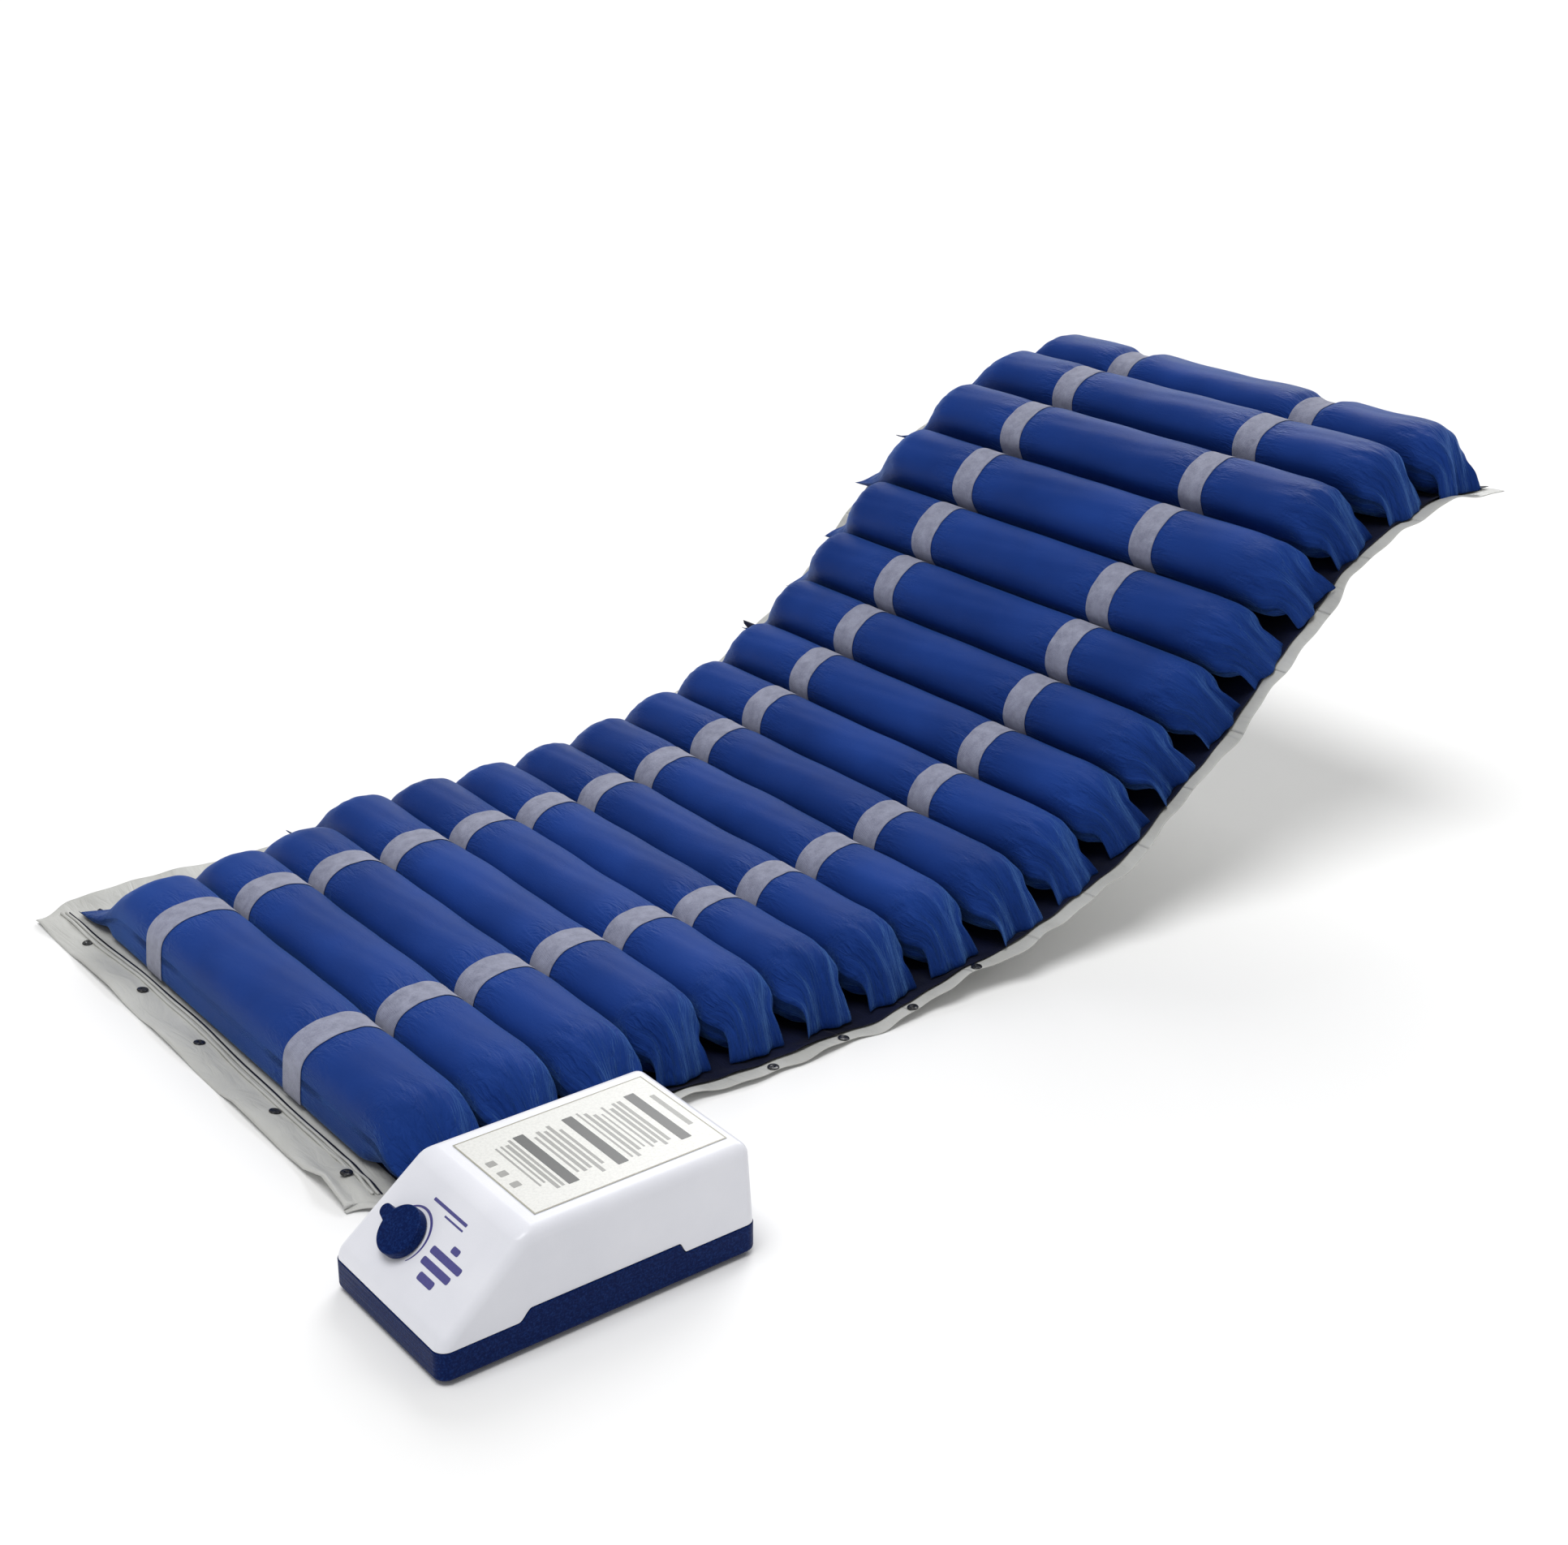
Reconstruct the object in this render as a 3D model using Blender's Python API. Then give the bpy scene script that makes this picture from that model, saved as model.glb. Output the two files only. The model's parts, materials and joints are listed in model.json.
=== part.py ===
"""Pressure relief mattress: an alternating air-cell overlay with its back raised, and its air pump.

Metres, +Z up. +X runs from the foot end to the head end, and the pump stands on the -Y side.
The origin is on the floor, midway between the two rows of straps, under the axis of the foot-end cell.

The mattress is a chain of links. One link is one cell's share of the base sheet, with two strap loops
welded to it and one air cell held in the loops. The first links lie flat and make one foot section.
Each link above them turns on a hinge line in the middle of the sheet.
"""

import math

import bmesh
import bpy
from mathutils import Matrix, Vector

# Mattress
CELL_COUNT = 18
FLAT_LINKS = 6
PITCH = 0.105
RAISED_SLOPES_DEG = (6.5, 10.0, 14.0, 22.0, 29.0, 35.5, 41.0, 44.5, 39.0, 28.0, 14.5, 2.0)
RAISE_LIMIT = 1.2  # the hinges may open to this many times their bend at rest

SHEET_LEFT = 0.472
SHEET_RIGHT = -0.458
SHEET_THICKNESS = 0.002
SHEET_GAP = 0.0006
FOOT_FLAP = 0.068
HEAD_MARGIN = 0.020

CELL_LEFT = 0.475
CELL_RIGHT = -0.448
CELL_HEIGHT = 0.098
CELL_SKIN = 0.001
CELL_REST_GAP = 0.0004
CELL_SIDE_GAP = 0.0006
CELL_ROUNDNESS = 2.3  # superellipse exponent of the cross-section
FIN_THICKNESS = 0.004
FIN_HEIGHT = 0.011
FIN_LENGTH = 0.012
FIN_WIDTH_FACTOR = 0.88
# Inward from each fin's edge: distance, width factor, lift of the underside, share of the full height
CELL_END_SHAPE = (
    (FIN_LENGTH, 0.90, 0.006, 0.16),
    (0.036, 0.97, 0.001, 0.62),
    (0.085, 1.00, 0.000, 1.00),
)
UNDERSIDE_SINE = -0.8  # section points below this sine of their angle lie on the flat underside
PORT_INSET = 0.011
SECTION_POINTS = 12

STRAP_Y = 0.190
STRAP_WIDTH = 0.045
STRAP_THICKNESS = 0.001
STRAP_GAP = 0.0007

# Pump casing
PUMP_X = -0.005
PUMP_Y = -0.642
PUMP_LENGTH = 0.372
PUMP_WIDTH = 0.213
PUMP_HEIGHT = 0.129
WALL = 0.0025
SEAM_HEIGHT = 0.037
SEAM_GAP = 0.0004
BASE_UNDERSIDE = 0.005
TRIM_DEPTH = 0.002
TOP_INSET = 0.006
END_DRAFT = 0.004
NOSE_STEP = 0.001
SLOPE_LOW = 0.046
SLOPE_RUN = 0.100
EDGE_RADIUS = 0.012
EDGE_ANGLE_DEG = 25.0
PANEL_STEP = 0.0115
PANEL_ROOT = 0.004
PANEL_PROUD = 0.0006
PANEL_FRONT = -0.083
PANEL_BACK = 0.088
PANEL_SLANT = 0.016
POST_X = 0.150
POST_Y = 0.076
POST_RADIUS = 0.005
POST_BITE_SLOPE = 1.9  # how far below the roof's outside a post ends, in wall thicknesses
POST_BITE_FLAT = 0.6
PILOT_DEPTH = 0.014
SCREW_RADIUS = 0.0015
SCREW_HEAD_RADIUS = 0.003
SCREW_HEAD_HEIGHT = 0.0025
SCREW_HEAD_RECESS = 0.001
SCREW_SEAT = 0.004
SCREW_LENGTH = 0.040
FOOT_RADIUS = 0.008
FOOT_CHAMFER = 0.001
FOOT_X = 0.140
FOOT_Y = 0.060
LABEL_SIZE = (0.228, 0.156, 0.0006)
LABEL_X = 0.053
MESH_GAP = 0.0003  # between pieces that touch

# Pump controls
KNOB_ALONG_SLOPE = 0.056
KNOB_Y = 0.032
KNOB_RADIUS = 0.027
KNOB_POINTER_RADIUS = 0.0075
KNOB_POINTER_REACH = 0.034
KNOB_HEIGHT = 0.013
KNOB_FLOAT = 0.0008
KNOB_REST_DEG = 81.0
KNOB_STEPS = 18
POINTER_STEPS = 6
POINTER_FLARE = 1.15  # the lobe meets the round body this many lobe radii from the lobe's centre
SPINDLE_RADIUS = 0.003
SPINDLE_LENGTH = 0.016
SPINDLE_TOP = 0.004
REGULATOR_RADIUS = 0.013
REGULATOR_LEVELS = (-0.030, -0.020, -0.0065)  # its underside, its bore's floor and its top, from the slope
END_WALL_X = 0.184
OUTLET_Y = (0.055, 0.080)
OUTLET_Z = 0.062
OUTLET_LENGTH = 0.020
OUTLET_SPIGOT_RADIUS = 0.004
GLAND_Y = 0.012
GLAND_Z = 0.062
GLAND_SPIGOT_RADIUS = 0.005
SWITCH_Y = -0.022
SWITCH_Z = 0.066
SWITCH_SIZE = (0.010, 0.012, 0.018)
SWITCH_SWING = 0.0026  # extra height of the switch's hole, for its rocking
HOLE_CLEARANCE = 0.0005
CUT_REACH = 0.012

# Pump works
CORE_SIZE = (0.050, 0.030, 0.040)
COIL_LENGTH = 0.026
COIL_BUILD = 0.008
COIL_SIDE_TRIM = 0.004
COIL_CLEARANCE = 0.0005
COIL_EDGE_RADIUS = 0.003
WORKS_Z = 0.045
WORKS_CLEARANCE = 0.0005
ARM_PIVOT_X = -0.062
ARM_Y = 0.031
ARM_LENGTH = 0.092
ARM_THICKNESS = 0.004
ARM_HEIGHT = 0.014
ARM_HUB_RADIUS = 0.005
ARM_HUB_REACH = 0.012
ARM_MAGNET_SIZE = (0.012, 0.008, 0.020)
ARM_MAGNET_OFFSET = 0.004
DIAPHRAGM_RADIUS = 0.017
DIAPHRAGM_LENGTH = 0.014
DIAPHRAGM_CLEARANCE = 0.0035
DIAPHRAGM_WAIST = 0.82
DIAPHRAGM_FACE = 0.7
VALVE_BLOCK_SIZE = (0.044, 0.020, 0.042)
VALVE_BLOCK_GAP = 0.0004
VALVE_BLOCK_EDGE = 0.002
MOTOR_X = 0.108
MOTOR_RADIUS = 0.026
MOTOR_HEIGHT = 0.018
MOTOR_SHAFT_RADIUS = 0.004
MOTOR_SHAFT_HEIGHT = 0.004
DISTRIBUTOR_RADIUS = 0.020
DISTRIBUTOR_HEIGHT = 0.010
DISTRIBUTOR_PORT_RADIUS = 0.003
DISTRIBUTOR_PORT_X = 0.012
DISTRIBUTOR_PORT_DEPTH = 0.004
BOARD_SIZE = (0.030, 0.080, 0.0016)
BOARD_X = 0.155
BOARD_LIFT = 0.006
TRANSFORMER_SIZE = (0.014, 0.016, 0.013)
TRANSFORMER_PLACE = (0.154, -0.024)
RELAY_SIZE = (0.010, 0.018, 0.010)
RELAY_PLACE = (0.157, 0.002)
CAPACITOR_RADIUS = 0.005
CAPACITOR_HEIGHT = 0.014
CAPACITOR_PLACE = (0.154, 0.026)
FILTER_SIZE = (0.040, 0.030, 0.008)
FILTER_X = -0.110

ROUND_SEGMENTS = 16
SMALL_SEGMENTS = 10

# name: colour, roughness, metallic
FINISHES = {
    "cell_fabric": ((0.055, 0.105, 0.33), 0.45, 0.0),
    "base_sheet": ((0.66, 0.67, 0.63), 0.50, 0.0),
    "pump_white": ((0.82, 0.82, 0.88), 0.32, 0.0),
    "pump_navy": ((0.004, 0.015, 0.085), 0.40, 0.0),
    "label": ((0.72, 0.72, 0.68), 0.45, 0.0),
    "rubber": ((0.03, 0.03, 0.035), 0.80, 0.0),
    "steel": ((0.55, 0.55, 0.56), 0.35, 1.0),
    "copper": ((0.72, 0.36, 0.18), 0.40, 1.0),
    "works_plastic": ((0.62, 0.63, 0.66), 0.45, 0.0),
    "board": ((0.03, 0.20, 0.09), 0.50, 0.0),
}


def clear_scene():
    for obj in list(bpy.data.objects):
        bpy.data.objects.remove(obj, do_unlink=True)


def finish(name):
    found = bpy.data.materials.get(name)
    if found:
        return found
    colour, roughness, metallic = FINISHES[name]
    material = bpy.data.materials.new(name)
    material.use_nodes = True
    shader = material.node_tree.nodes["Principled BSDF"]
    shader.inputs["Base Color"].default_value = (*colour, 1.0)
    shader.inputs["Roughness"].default_value = roughness
    shader.inputs["Metallic"].default_value = metallic
    return material


def empty(name, parent=None, location=(0, 0, 0), rotation=(0, 0, 0)):
    obj = bpy.data.objects.new(name, None)
    obj.empty_display_size = 0.03
    obj.parent = parent
    obj.location = location
    obj.rotation_euler = rotation
    bpy.context.scene.collection.objects.link(obj)
    return obj


def solid(name, shape, look, parent=None, location=(0, 0, 0), smooth=True):
    """An object from a finished bmesh, which this frees."""
    bmesh.ops.recalc_face_normals(shape, faces=shape.faces)
    mesh = bpy.data.meshes.new(name)
    shape.to_mesh(mesh)
    shape.free()
    mesh.materials.append(finish(look))
    if smooth:
        mesh.shade_smooth()
        mesh.set_sharp_from_angle(angle=math.radians(40))
    obj = bpy.data.objects.new(name, mesh)
    obj.parent = parent
    obj.location = location
    bpy.context.scene.collection.objects.link(obj)
    return obj


def helper(name, shape, parent=None, location=(0, 0, 0)):
    """A tool for a Boolean, which is not part of the product."""
    obj = solid(name, shape, "steel", parent, location, smooth=False)
    obj.hide_render = True
    obj.display_type = "WIRE"
    return obj


def combine(obj, other, operation):
    modifier = obj.modifiers.new(operation.lower(), "BOOLEAN")
    modifier.object = other
    modifier.operation = operation


def merged(shapes):
    """One bmesh that holds the given separate closed shapes."""
    whole = bmesh.new()
    for shape in shapes:
        mesh = bpy.data.meshes.new("piece")
        shape.to_mesh(mesh)
        shape.free()
        whole.from_mesh(mesh)
        bpy.data.meshes.remove(mesh)
    return whole


def block(size, centre=(0, 0, 0)):
    shape = bmesh.new()
    place = Matrix.Translation(centre) @ Matrix.Diagonal((*size, 1.0))
    bmesh.ops.create_cube(shape, size=1.0, matrix=place)
    return shape


def turned(profile, axis="Z", centre=(0, 0, 0), segments=ROUND_SEGMENTS):
    """A closed solid of revolution. The profile is (radius, height) from its low end to its high end."""
    shape = bmesh.new()
    rings = []
    for radius, height in profile:
        if radius == 0:
            rings.append([shape.verts.new((0, 0, height))])
            continue
        turns = [math.tau * k / segments for k in range(segments)]
        places = [(radius * math.cos(turn), radius * math.sin(turn), height) for turn in turns]
        rings.append([shape.verts.new(place) for place in places])
    for low, high in zip(rings, rings[1:]):
        for k in range(segments):
            below = [low[k % len(low)], low[(k + 1) % len(low)]]
            above = [high[(k + 1) % len(high)], high[k % len(high)]]
            shape.faces.new(list(dict.fromkeys(below + above)))
    upright = {
        "X": Matrix.Rotation(math.pi / 2, 4, "Y"),
        "Y": Matrix.Rotation(-math.pi / 2, 4, "X"),
        "Z": Matrix(),
    }
    place = Matrix.Translation(centre) @ upright[axis]
    bmesh.ops.transform(shape, matrix=place, verts=shape.verts)
    return shape


def rod(radius, low, high, axis="Z", centre=(0, 0, 0), segments=SMALL_SEGMENTS):
    return turned([(0, low), (radius, low), (radius, high), (0, high)], axis, centre, segments)


def prism(outline, width, centre_y=0.0):
    """An outline in X and Z, extruded across Y."""
    shape = bmesh.new()
    near = [shape.verts.new((x, centre_y - width / 2, z)) for x, z in outline]
    far = [shape.verts.new((x, centre_y + width / 2, z)) for x, z in outline]
    shape.faces.new(near)
    shape.faces.new(list(reversed(far)))
    for k in range(len(outline)):
        after = (k + 1) % len(outline)
        shape.faces.new((near[k], near[after], far[after], far[k]))
    return shape


def link_bends():
    """The angle at each hinge line at rest, from the first raised link to the last, in radians."""
    slopes = [0.0, *RAISED_SLOPES_DEG]
    return [math.radians(after - before) for before, after in zip(slopes, slopes[1:])]


def cell_width(link):
    """The width that still clears both neighbours, and the straps, when the back is at its upper limit."""
    bends = [0.0] * FLAT_LINKS + link_bends() + [0.0]
    sharpest = max(bends[link], bends[link + 1], 0.0) * RAISE_LIMIT
    squeeze = CELL_HEIGHT * math.tan(sharpest / 2)
    return PITCH - 2 * (STRAP_GAP + STRAP_THICKNESS + CELL_SIDE_GAP) - squeeze


def section_point(angle, half_width, half_height):
    power = 2 / CELL_ROUNDNESS
    across, up = math.cos(angle), math.sin(angle)
    return (
        half_width * math.copysign(abs(across) ** power, across),
        half_height * math.copysign(abs(up) ** power, up),
    )


def cell_section(half_width, low, high):
    """The cross-section's points: a superellipse whose underside is pressed flat."""
    half_height = (high - low) / 2
    points = []
    for k in range(SECTION_POINTS):
        angle = math.tau * k / SECTION_POINTS
        x, z = section_point(angle, half_width, half_height)
        if math.sin(angle) < UNDERSIDE_SINE:
            z = -half_height
        points.append((x, z + (low + high) / 2))
    return points


def cell_stations(skin):
    """(y, width factor, low, high) along a cell, where skin is how far in from the outer surface to stay."""
    stations = []
    if skin == 0:
        flat = (FIN_HEIGHT - FIN_THICKNESS / 2, FIN_HEIGHT + FIN_THICKNESS / 2)
        stations.append((0.0, FIN_WIDTH_FACTOR, *flat))
    for inward, factor, lift, share in CELL_END_SHAPE:
        stations.append((inward, factor, lift + skin, CELL_HEIGHT * share - skin))
    right = [(CELL_RIGHT + inward, *rest) for inward, *rest in stations]
    left = [(CELL_LEFT - inward, *rest) for inward, *rest in reversed(stations)]
    return [*right, *left]


def loft(shape, width, skin):
    """Adds a closed tube through the cell's stations and returns the faces of its underside, one per span."""
    rings = []
    for y, factor, low, high in cell_stations(skin):
        points = cell_section(width / 2 * factor - skin, low, high)
        rings.append([shape.verts.new((x, y, z)) for x, z in points])
    under = []
    lowest = SECTION_POINTS * 3 // 4
    for first, second in zip(rings, rings[1:]):
        for k in range(SECTION_POINTS):
            after = (k + 1) % SECTION_POINTS
            face = shape.faces.new((first[k], first[after], second[after], second[k]))
            if k == lowest:
                under.append(face)
    shape.faces.new(rings[0])
    shape.faces.new(list(reversed(rings[-1])))
    return under


def air_cell(name, link, parent, x):
    """A thin bladder with an air port through its underside near the pump's side."""
    shape = bmesh.new()
    width = cell_width(link)
    outer = loft(shape, width, 0.0)
    inner = loft(shape, width, CELL_SKIN)
    port_faces = (outer[2], inner[1])
    bmesh.ops.inset_individual(shape, faces=list(port_faces), thickness=PORT_INSET)
    rims = [edge for face in port_faces for edge in face.edges]
    bmesh.ops.delete(shape, geom=list(port_faces), context="FACES_ONLY")
    bmesh.ops.bridge_loops(shape, edges=rims)
    return solid(name, shape, "cell_fabric", parent, (x, 0, SHEET_THICKNESS / 2 + CELL_REST_GAP))


def strap_loop(x, y, width):
    """A flat band over one cell, whose two ends run down into the sheet."""
    half_width, half_height = width / 2, CELL_HEIGHT / 2
    middle = SHEET_THICKNESS / 2 + CELL_REST_GAP + half_height
    steps = SECTION_POINTS // 2
    paths = []
    for offset in (STRAP_GAP, STRAP_GAP + STRAP_THICKNESS):
        path = [(half_width + offset, 0.0)]
        for k in range(steps + 1):
            across, up = section_point(math.pi * k / steps, half_width + offset, half_height + offset)
            path.append((across, up + middle))
        path.append((-half_width - offset, 0.0))
        paths.append(path)
    inner, outer = paths
    shape = prism([*outer, *reversed(inner)], STRAP_WIDTH, y)
    bmesh.ops.translate(shape, vec=(x, 0, 0), verts=shape.verts)
    return shape


def sheet_part(name, parent, low_x, high_x, links):
    """A stretch of the base sheet with its links' strap loops welded on. links maps a link to its middle."""
    size = (high_x - low_x, SHEET_LEFT - SHEET_RIGHT, SHEET_THICKNESS)
    centre = ((low_x + high_x) / 2, (SHEET_LEFT + SHEET_RIGHT) / 2, 0)
    part = solid(name, block(size, centre), "base_sheet", parent)
    loops = []
    for link, x in links.items():
        loops += [strap_loop(x, y, cell_width(link)) for y in (-STRAP_Y, STRAP_Y)]
    combine(part, helper(name + "_loops", merged(loops), parent), "UNION")
    return part


def mattress():
    section = empty("foot_section", None, (-PITCH / 2, 0, SHEET_THICKNESS / 2))
    middles = {link: (link + 0.5) * PITCH for link in range(FLAT_LINKS)}
    sheet_part("base_sheet_foot", section, -FOOT_FLAP, FLAT_LINKS * PITCH - SHEET_GAP / 2, middles)
    for link, x in middles.items():
        air_cell(f"air_cell_{link + 1:02d}", link, section, x)
    reach = FLAT_LINKS * PITCH
    for link, bend in enumerate(link_bends(), start=FLAT_LINKS):
        number = f"{link + 1:02d}"
        section = empty("hinge_" + number, section, (reach, 0, 0), (0, -bend, 0))
        end = PITCH + HEAD_MARGIN if link == CELL_COUNT - 1 else PITCH - SHEET_GAP / 2
        sheet_part("base_strip_" + number, section, SHEET_GAP / 2, end, {link: PITCH / 2})
        air_cell("air_cell_" + number, link, section, PITCH / 2)
        reach = PITCH


def slope_angle():
    return math.atan2(PUMP_HEIGHT - SLOPE_LOW, SLOPE_RUN)


def casing_outline():
    """The cover seen from the side, from its front foot round to its back foot. It is trimmed flat later."""
    front, back = -PUMP_LENGTH / 2, PUMP_LENGTH / 2
    return [
        (front, SEAM_HEIGHT - TRIM_DEPTH),
        (front + NOSE_STEP, SLOPE_LOW),
        (front + NOSE_STEP + SLOPE_RUN, PUMP_HEIGHT),
        (back - END_DRAFT, PUMP_HEIGHT),
        (back, SEAM_HEIGHT - TRIM_DEPTH),
    ]


def rounded(obj, radius, segments=3):
    modifier = obj.modifiers.new("edges", "BEVEL")
    modifier.width = radius
    modifier.segments = segments
    modifier.limit_method = "ANGLE"
    modifier.angle_limit = math.radians(EDGE_ANGLE_DEG)


def hollowed(obj, thickness=WALL):
    modifier = obj.modifiers.new("shell", "SOLIDIFY")
    modifier.thickness = thickness
    modifier.offset = -1
    modifier.use_even_offset = True


def drop_face(shape, facing):
    """Leaves a solid without the face that looks most nearly along the given direction."""
    shape.normal_update()
    bmesh.ops.recalc_face_normals(shape, faces=shape.faces)
    face = max(shape.faces, key=lambda each: each.normal.dot(Vector(facing)))
    bmesh.ops.delete(shape, geom=[face], context="FACES_ONLY")


def panel_outline(grow):
    """The step in the seam along each long side, grown by a clearance."""
    top = SEAM_HEIGHT + PANEL_STEP + grow
    low = SEAM_HEIGHT - PANEL_ROOT
    return [
        (PANEL_FRONT - PANEL_SLANT - grow, low),
        (PANEL_FRONT - PANEL_SLANT - grow, SEAM_HEIGHT + grow),
        (PANEL_FRONT - grow, top),
        (PANEL_BACK + grow, top),
        (PANEL_BACK + PANEL_SLANT / 2 + grow, SEAM_HEIGHT + grow),
        (PANEL_BACK + PANEL_SLANT / 2 + grow, low),
    ]


def corner_places(x, y):
    return [(x * along, y * across) for along in (-1, 1) for across in (-1, 1)]


def cover_posts():
    """Screw posts that hang from the cover's roof, each reaching just into the wall above it."""
    posts = []
    for x, y in corner_places(POST_X, POST_Y):
        slope_roof = SLOPE_LOW + (x + PUMP_LENGTH / 2) * math.tan(slope_angle())
        roof = min(slope_roof, PUMP_HEIGHT) - WALL * (POST_BITE_SLOPE if x < 0 else POST_BITE_FLAT)
        posts.append(rod(POST_RADIUS, SEAM_HEIGHT + 0.001, roof, centre=(x, y, 0)))
    return merged(posts)


def on_slope(distance, y=0.0):
    """A point on the sloped control face, distance up from its lower edge."""
    angle = slope_angle()
    x = -PUMP_LENGTH / 2 + NOSE_STEP + distance * math.cos(angle)
    return Vector((x, y, SLOPE_LOW + distance * math.sin(angle)))


def cover_cuts():
    """What is cut out of the cover: its stepped seam and the holes of its fittings and screws."""
    spindle = rod(SPINDLE_RADIUS + HOLE_CLEARANCE, -CUT_REACH, CUT_REACH)
    place = Matrix.Translation(on_slope(KNOB_ALONG_SLOPE, KNOB_Y))
    tilt = Matrix.Rotation(-slope_angle(), 4, "Y")
    bmesh.ops.transform(spindle, matrix=place @ tilt, verts=spindle.verts)
    cuts = [prism(panel_outline(SEAM_GAP), PUMP_WIDTH + CUT_REACH), spindle]
    round_holes = [(OUTLET_SPIGOT_RADIUS, (END_WALL_X, y, OUTLET_Z)) for y in OUTLET_Y]
    round_holes.append((GLAND_SPIGOT_RADIUS, (END_WALL_X, GLAND_Y, GLAND_Z)))
    for radius, centre in round_holes:
        cuts.append(rod(radius + HOLE_CLEARANCE, -CUT_REACH, CUT_REACH, "X", centre, ROUND_SEGMENTS))
    size = (2 * CUT_REACH, SWITCH_SIZE[1] + 2 * HOLE_CLEARANCE, SWITCH_SIZE[2] + SWITCH_SWING)
    cuts.append(block(size, (END_WALL_X, SWITCH_Y, SWITCH_Z)))
    pilot = SCREW_RADIUS + HOLE_CLEARANCE
    for x, y in corner_places(POST_X, POST_Y):
        cuts.append(rod(pilot, SEAM_HEIGHT - TRIM_DEPTH, SEAM_HEIGHT + PILOT_DEPTH, centre=(x, y, 0)))
    return merged(cuts)


def screw_hole(x, y):
    """A stepped hole up through the base, for a screw whose head sits in it."""
    wide, narrow = SCREW_HEAD_RADIUS + HOLE_CLEARANCE, SCREW_RADIUS + HOLE_CLEARANCE
    seat, top = BASE_UNDERSIDE + SCREW_SEAT, SEAM_HEIGHT + TRIM_DEPTH
    profile = [(0, 0.0), (wide, 0.0), (wide, seat), (narrow, seat), (narrow, top), (0, top)]
    return turned(profile, centre=(x, y, 0), segments=SMALL_SEGMENTS)


def casing(pump):
    shape = prism(casing_outline(), PUMP_WIDTH)
    for vert in shape.verts:
        if vert.co.z > PUMP_HEIGHT - TRIM_DEPTH:
            vert.co.y -= math.copysign(TOP_INSET, vert.co.y)
    drop_face(shape, (0, 0, -1))
    cover = solid("pump_cover", shape, "pump_white", pump)
    rounded(cover, EDGE_RADIUS)
    hollowed(cover)
    rim = SEAM_HEIGHT + SEAM_GAP
    trim = block((PUMP_LENGTH + CUT_REACH, PUMP_WIDTH + CUT_REACH, rim), (0, 0, rim / 2))
    combine(cover, helper("cover_trim", trim, pump), "DIFFERENCE")
    combine(cover, helper("cover_posts", cover_posts(), pump), "UNION")
    combine(cover, helper("cover_cuts", cover_cuts(), pump), "DIFFERENCE")

    height = SEAM_HEIGHT - BASE_UNDERSIDE
    shape = block((PUMP_LENGTH, PUMP_WIDTH, height), (0, 0, BASE_UNDERSIDE + height / 2))
    drop_face(shape, (0, 0, 1))
    base = solid("pump_base", shape, "pump_navy", pump)
    rounded(base, EDGE_RADIUS / 2, 2)
    hollowed(base)
    panel_y = (PUMP_WIDTH - WALL) / 2 - PANEL_PROUD
    additions = [prism(panel_outline(0), WALL, side * panel_y) for side in (-1, 1)]
    holes = []
    for x, y in corner_places(POST_X, POST_Y):
        additions.append(rod(POST_RADIUS, BASE_UNDERSIDE + SCREW_HEAD_RECESS, SEAM_HEIGHT, centre=(x, y, 0)))
        holes.append(screw_hole(x, y))
    combine(base, helper("base_additions", merged(additions), pump), "UNION")
    combine(base, helper("base_cuts", merged(holes), pump), "DIFFERENCE")

    label = block(LABEL_SIZE, (LABEL_X, 0, PUMP_HEIGHT + MESH_GAP + LABEL_SIZE[2] / 2))
    solid("rating_label", label, "label", pump)
    fasteners(pump)


def fasteners(pump):
    corners = ("front_right", "front_left", "rear_right", "rear_left")
    head = BASE_UNDERSIDE + SCREW_HEAD_RECESS
    neck, tip = head + SCREW_HEAD_HEIGHT, head + SCREW_LENGTH
    screw = [(0, head), (SCREW_HEAD_RADIUS, head), (SCREW_HEAD_RADIUS, neck)]
    screw += [(SCREW_RADIUS, neck), (SCREW_RADIUS, tip), (0, tip)]
    for name, (x, y) in zip(corners, corner_places(POST_X, POST_Y)):
        shape = turned(screw, centre=(x, y, 0), segments=SMALL_SEGMENTS)
        solid("case_screw_" + name, shape, "steel", pump)
    top = BASE_UNDERSIDE - MESH_GAP
    radius, chamfer = FOOT_RADIUS, FOOT_CHAMFER
    foot = [(0, 0.0), (radius - chamfer, 0.0), (radius, chamfer), (radius, top), (0, top)]
    for name, (x, y) in zip(corners, corner_places(FOOT_X, FOOT_Y)):
        solid("rubber_foot_" + name, turned(foot, centre=(x, y, 0)), "rubber", pump)


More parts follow.
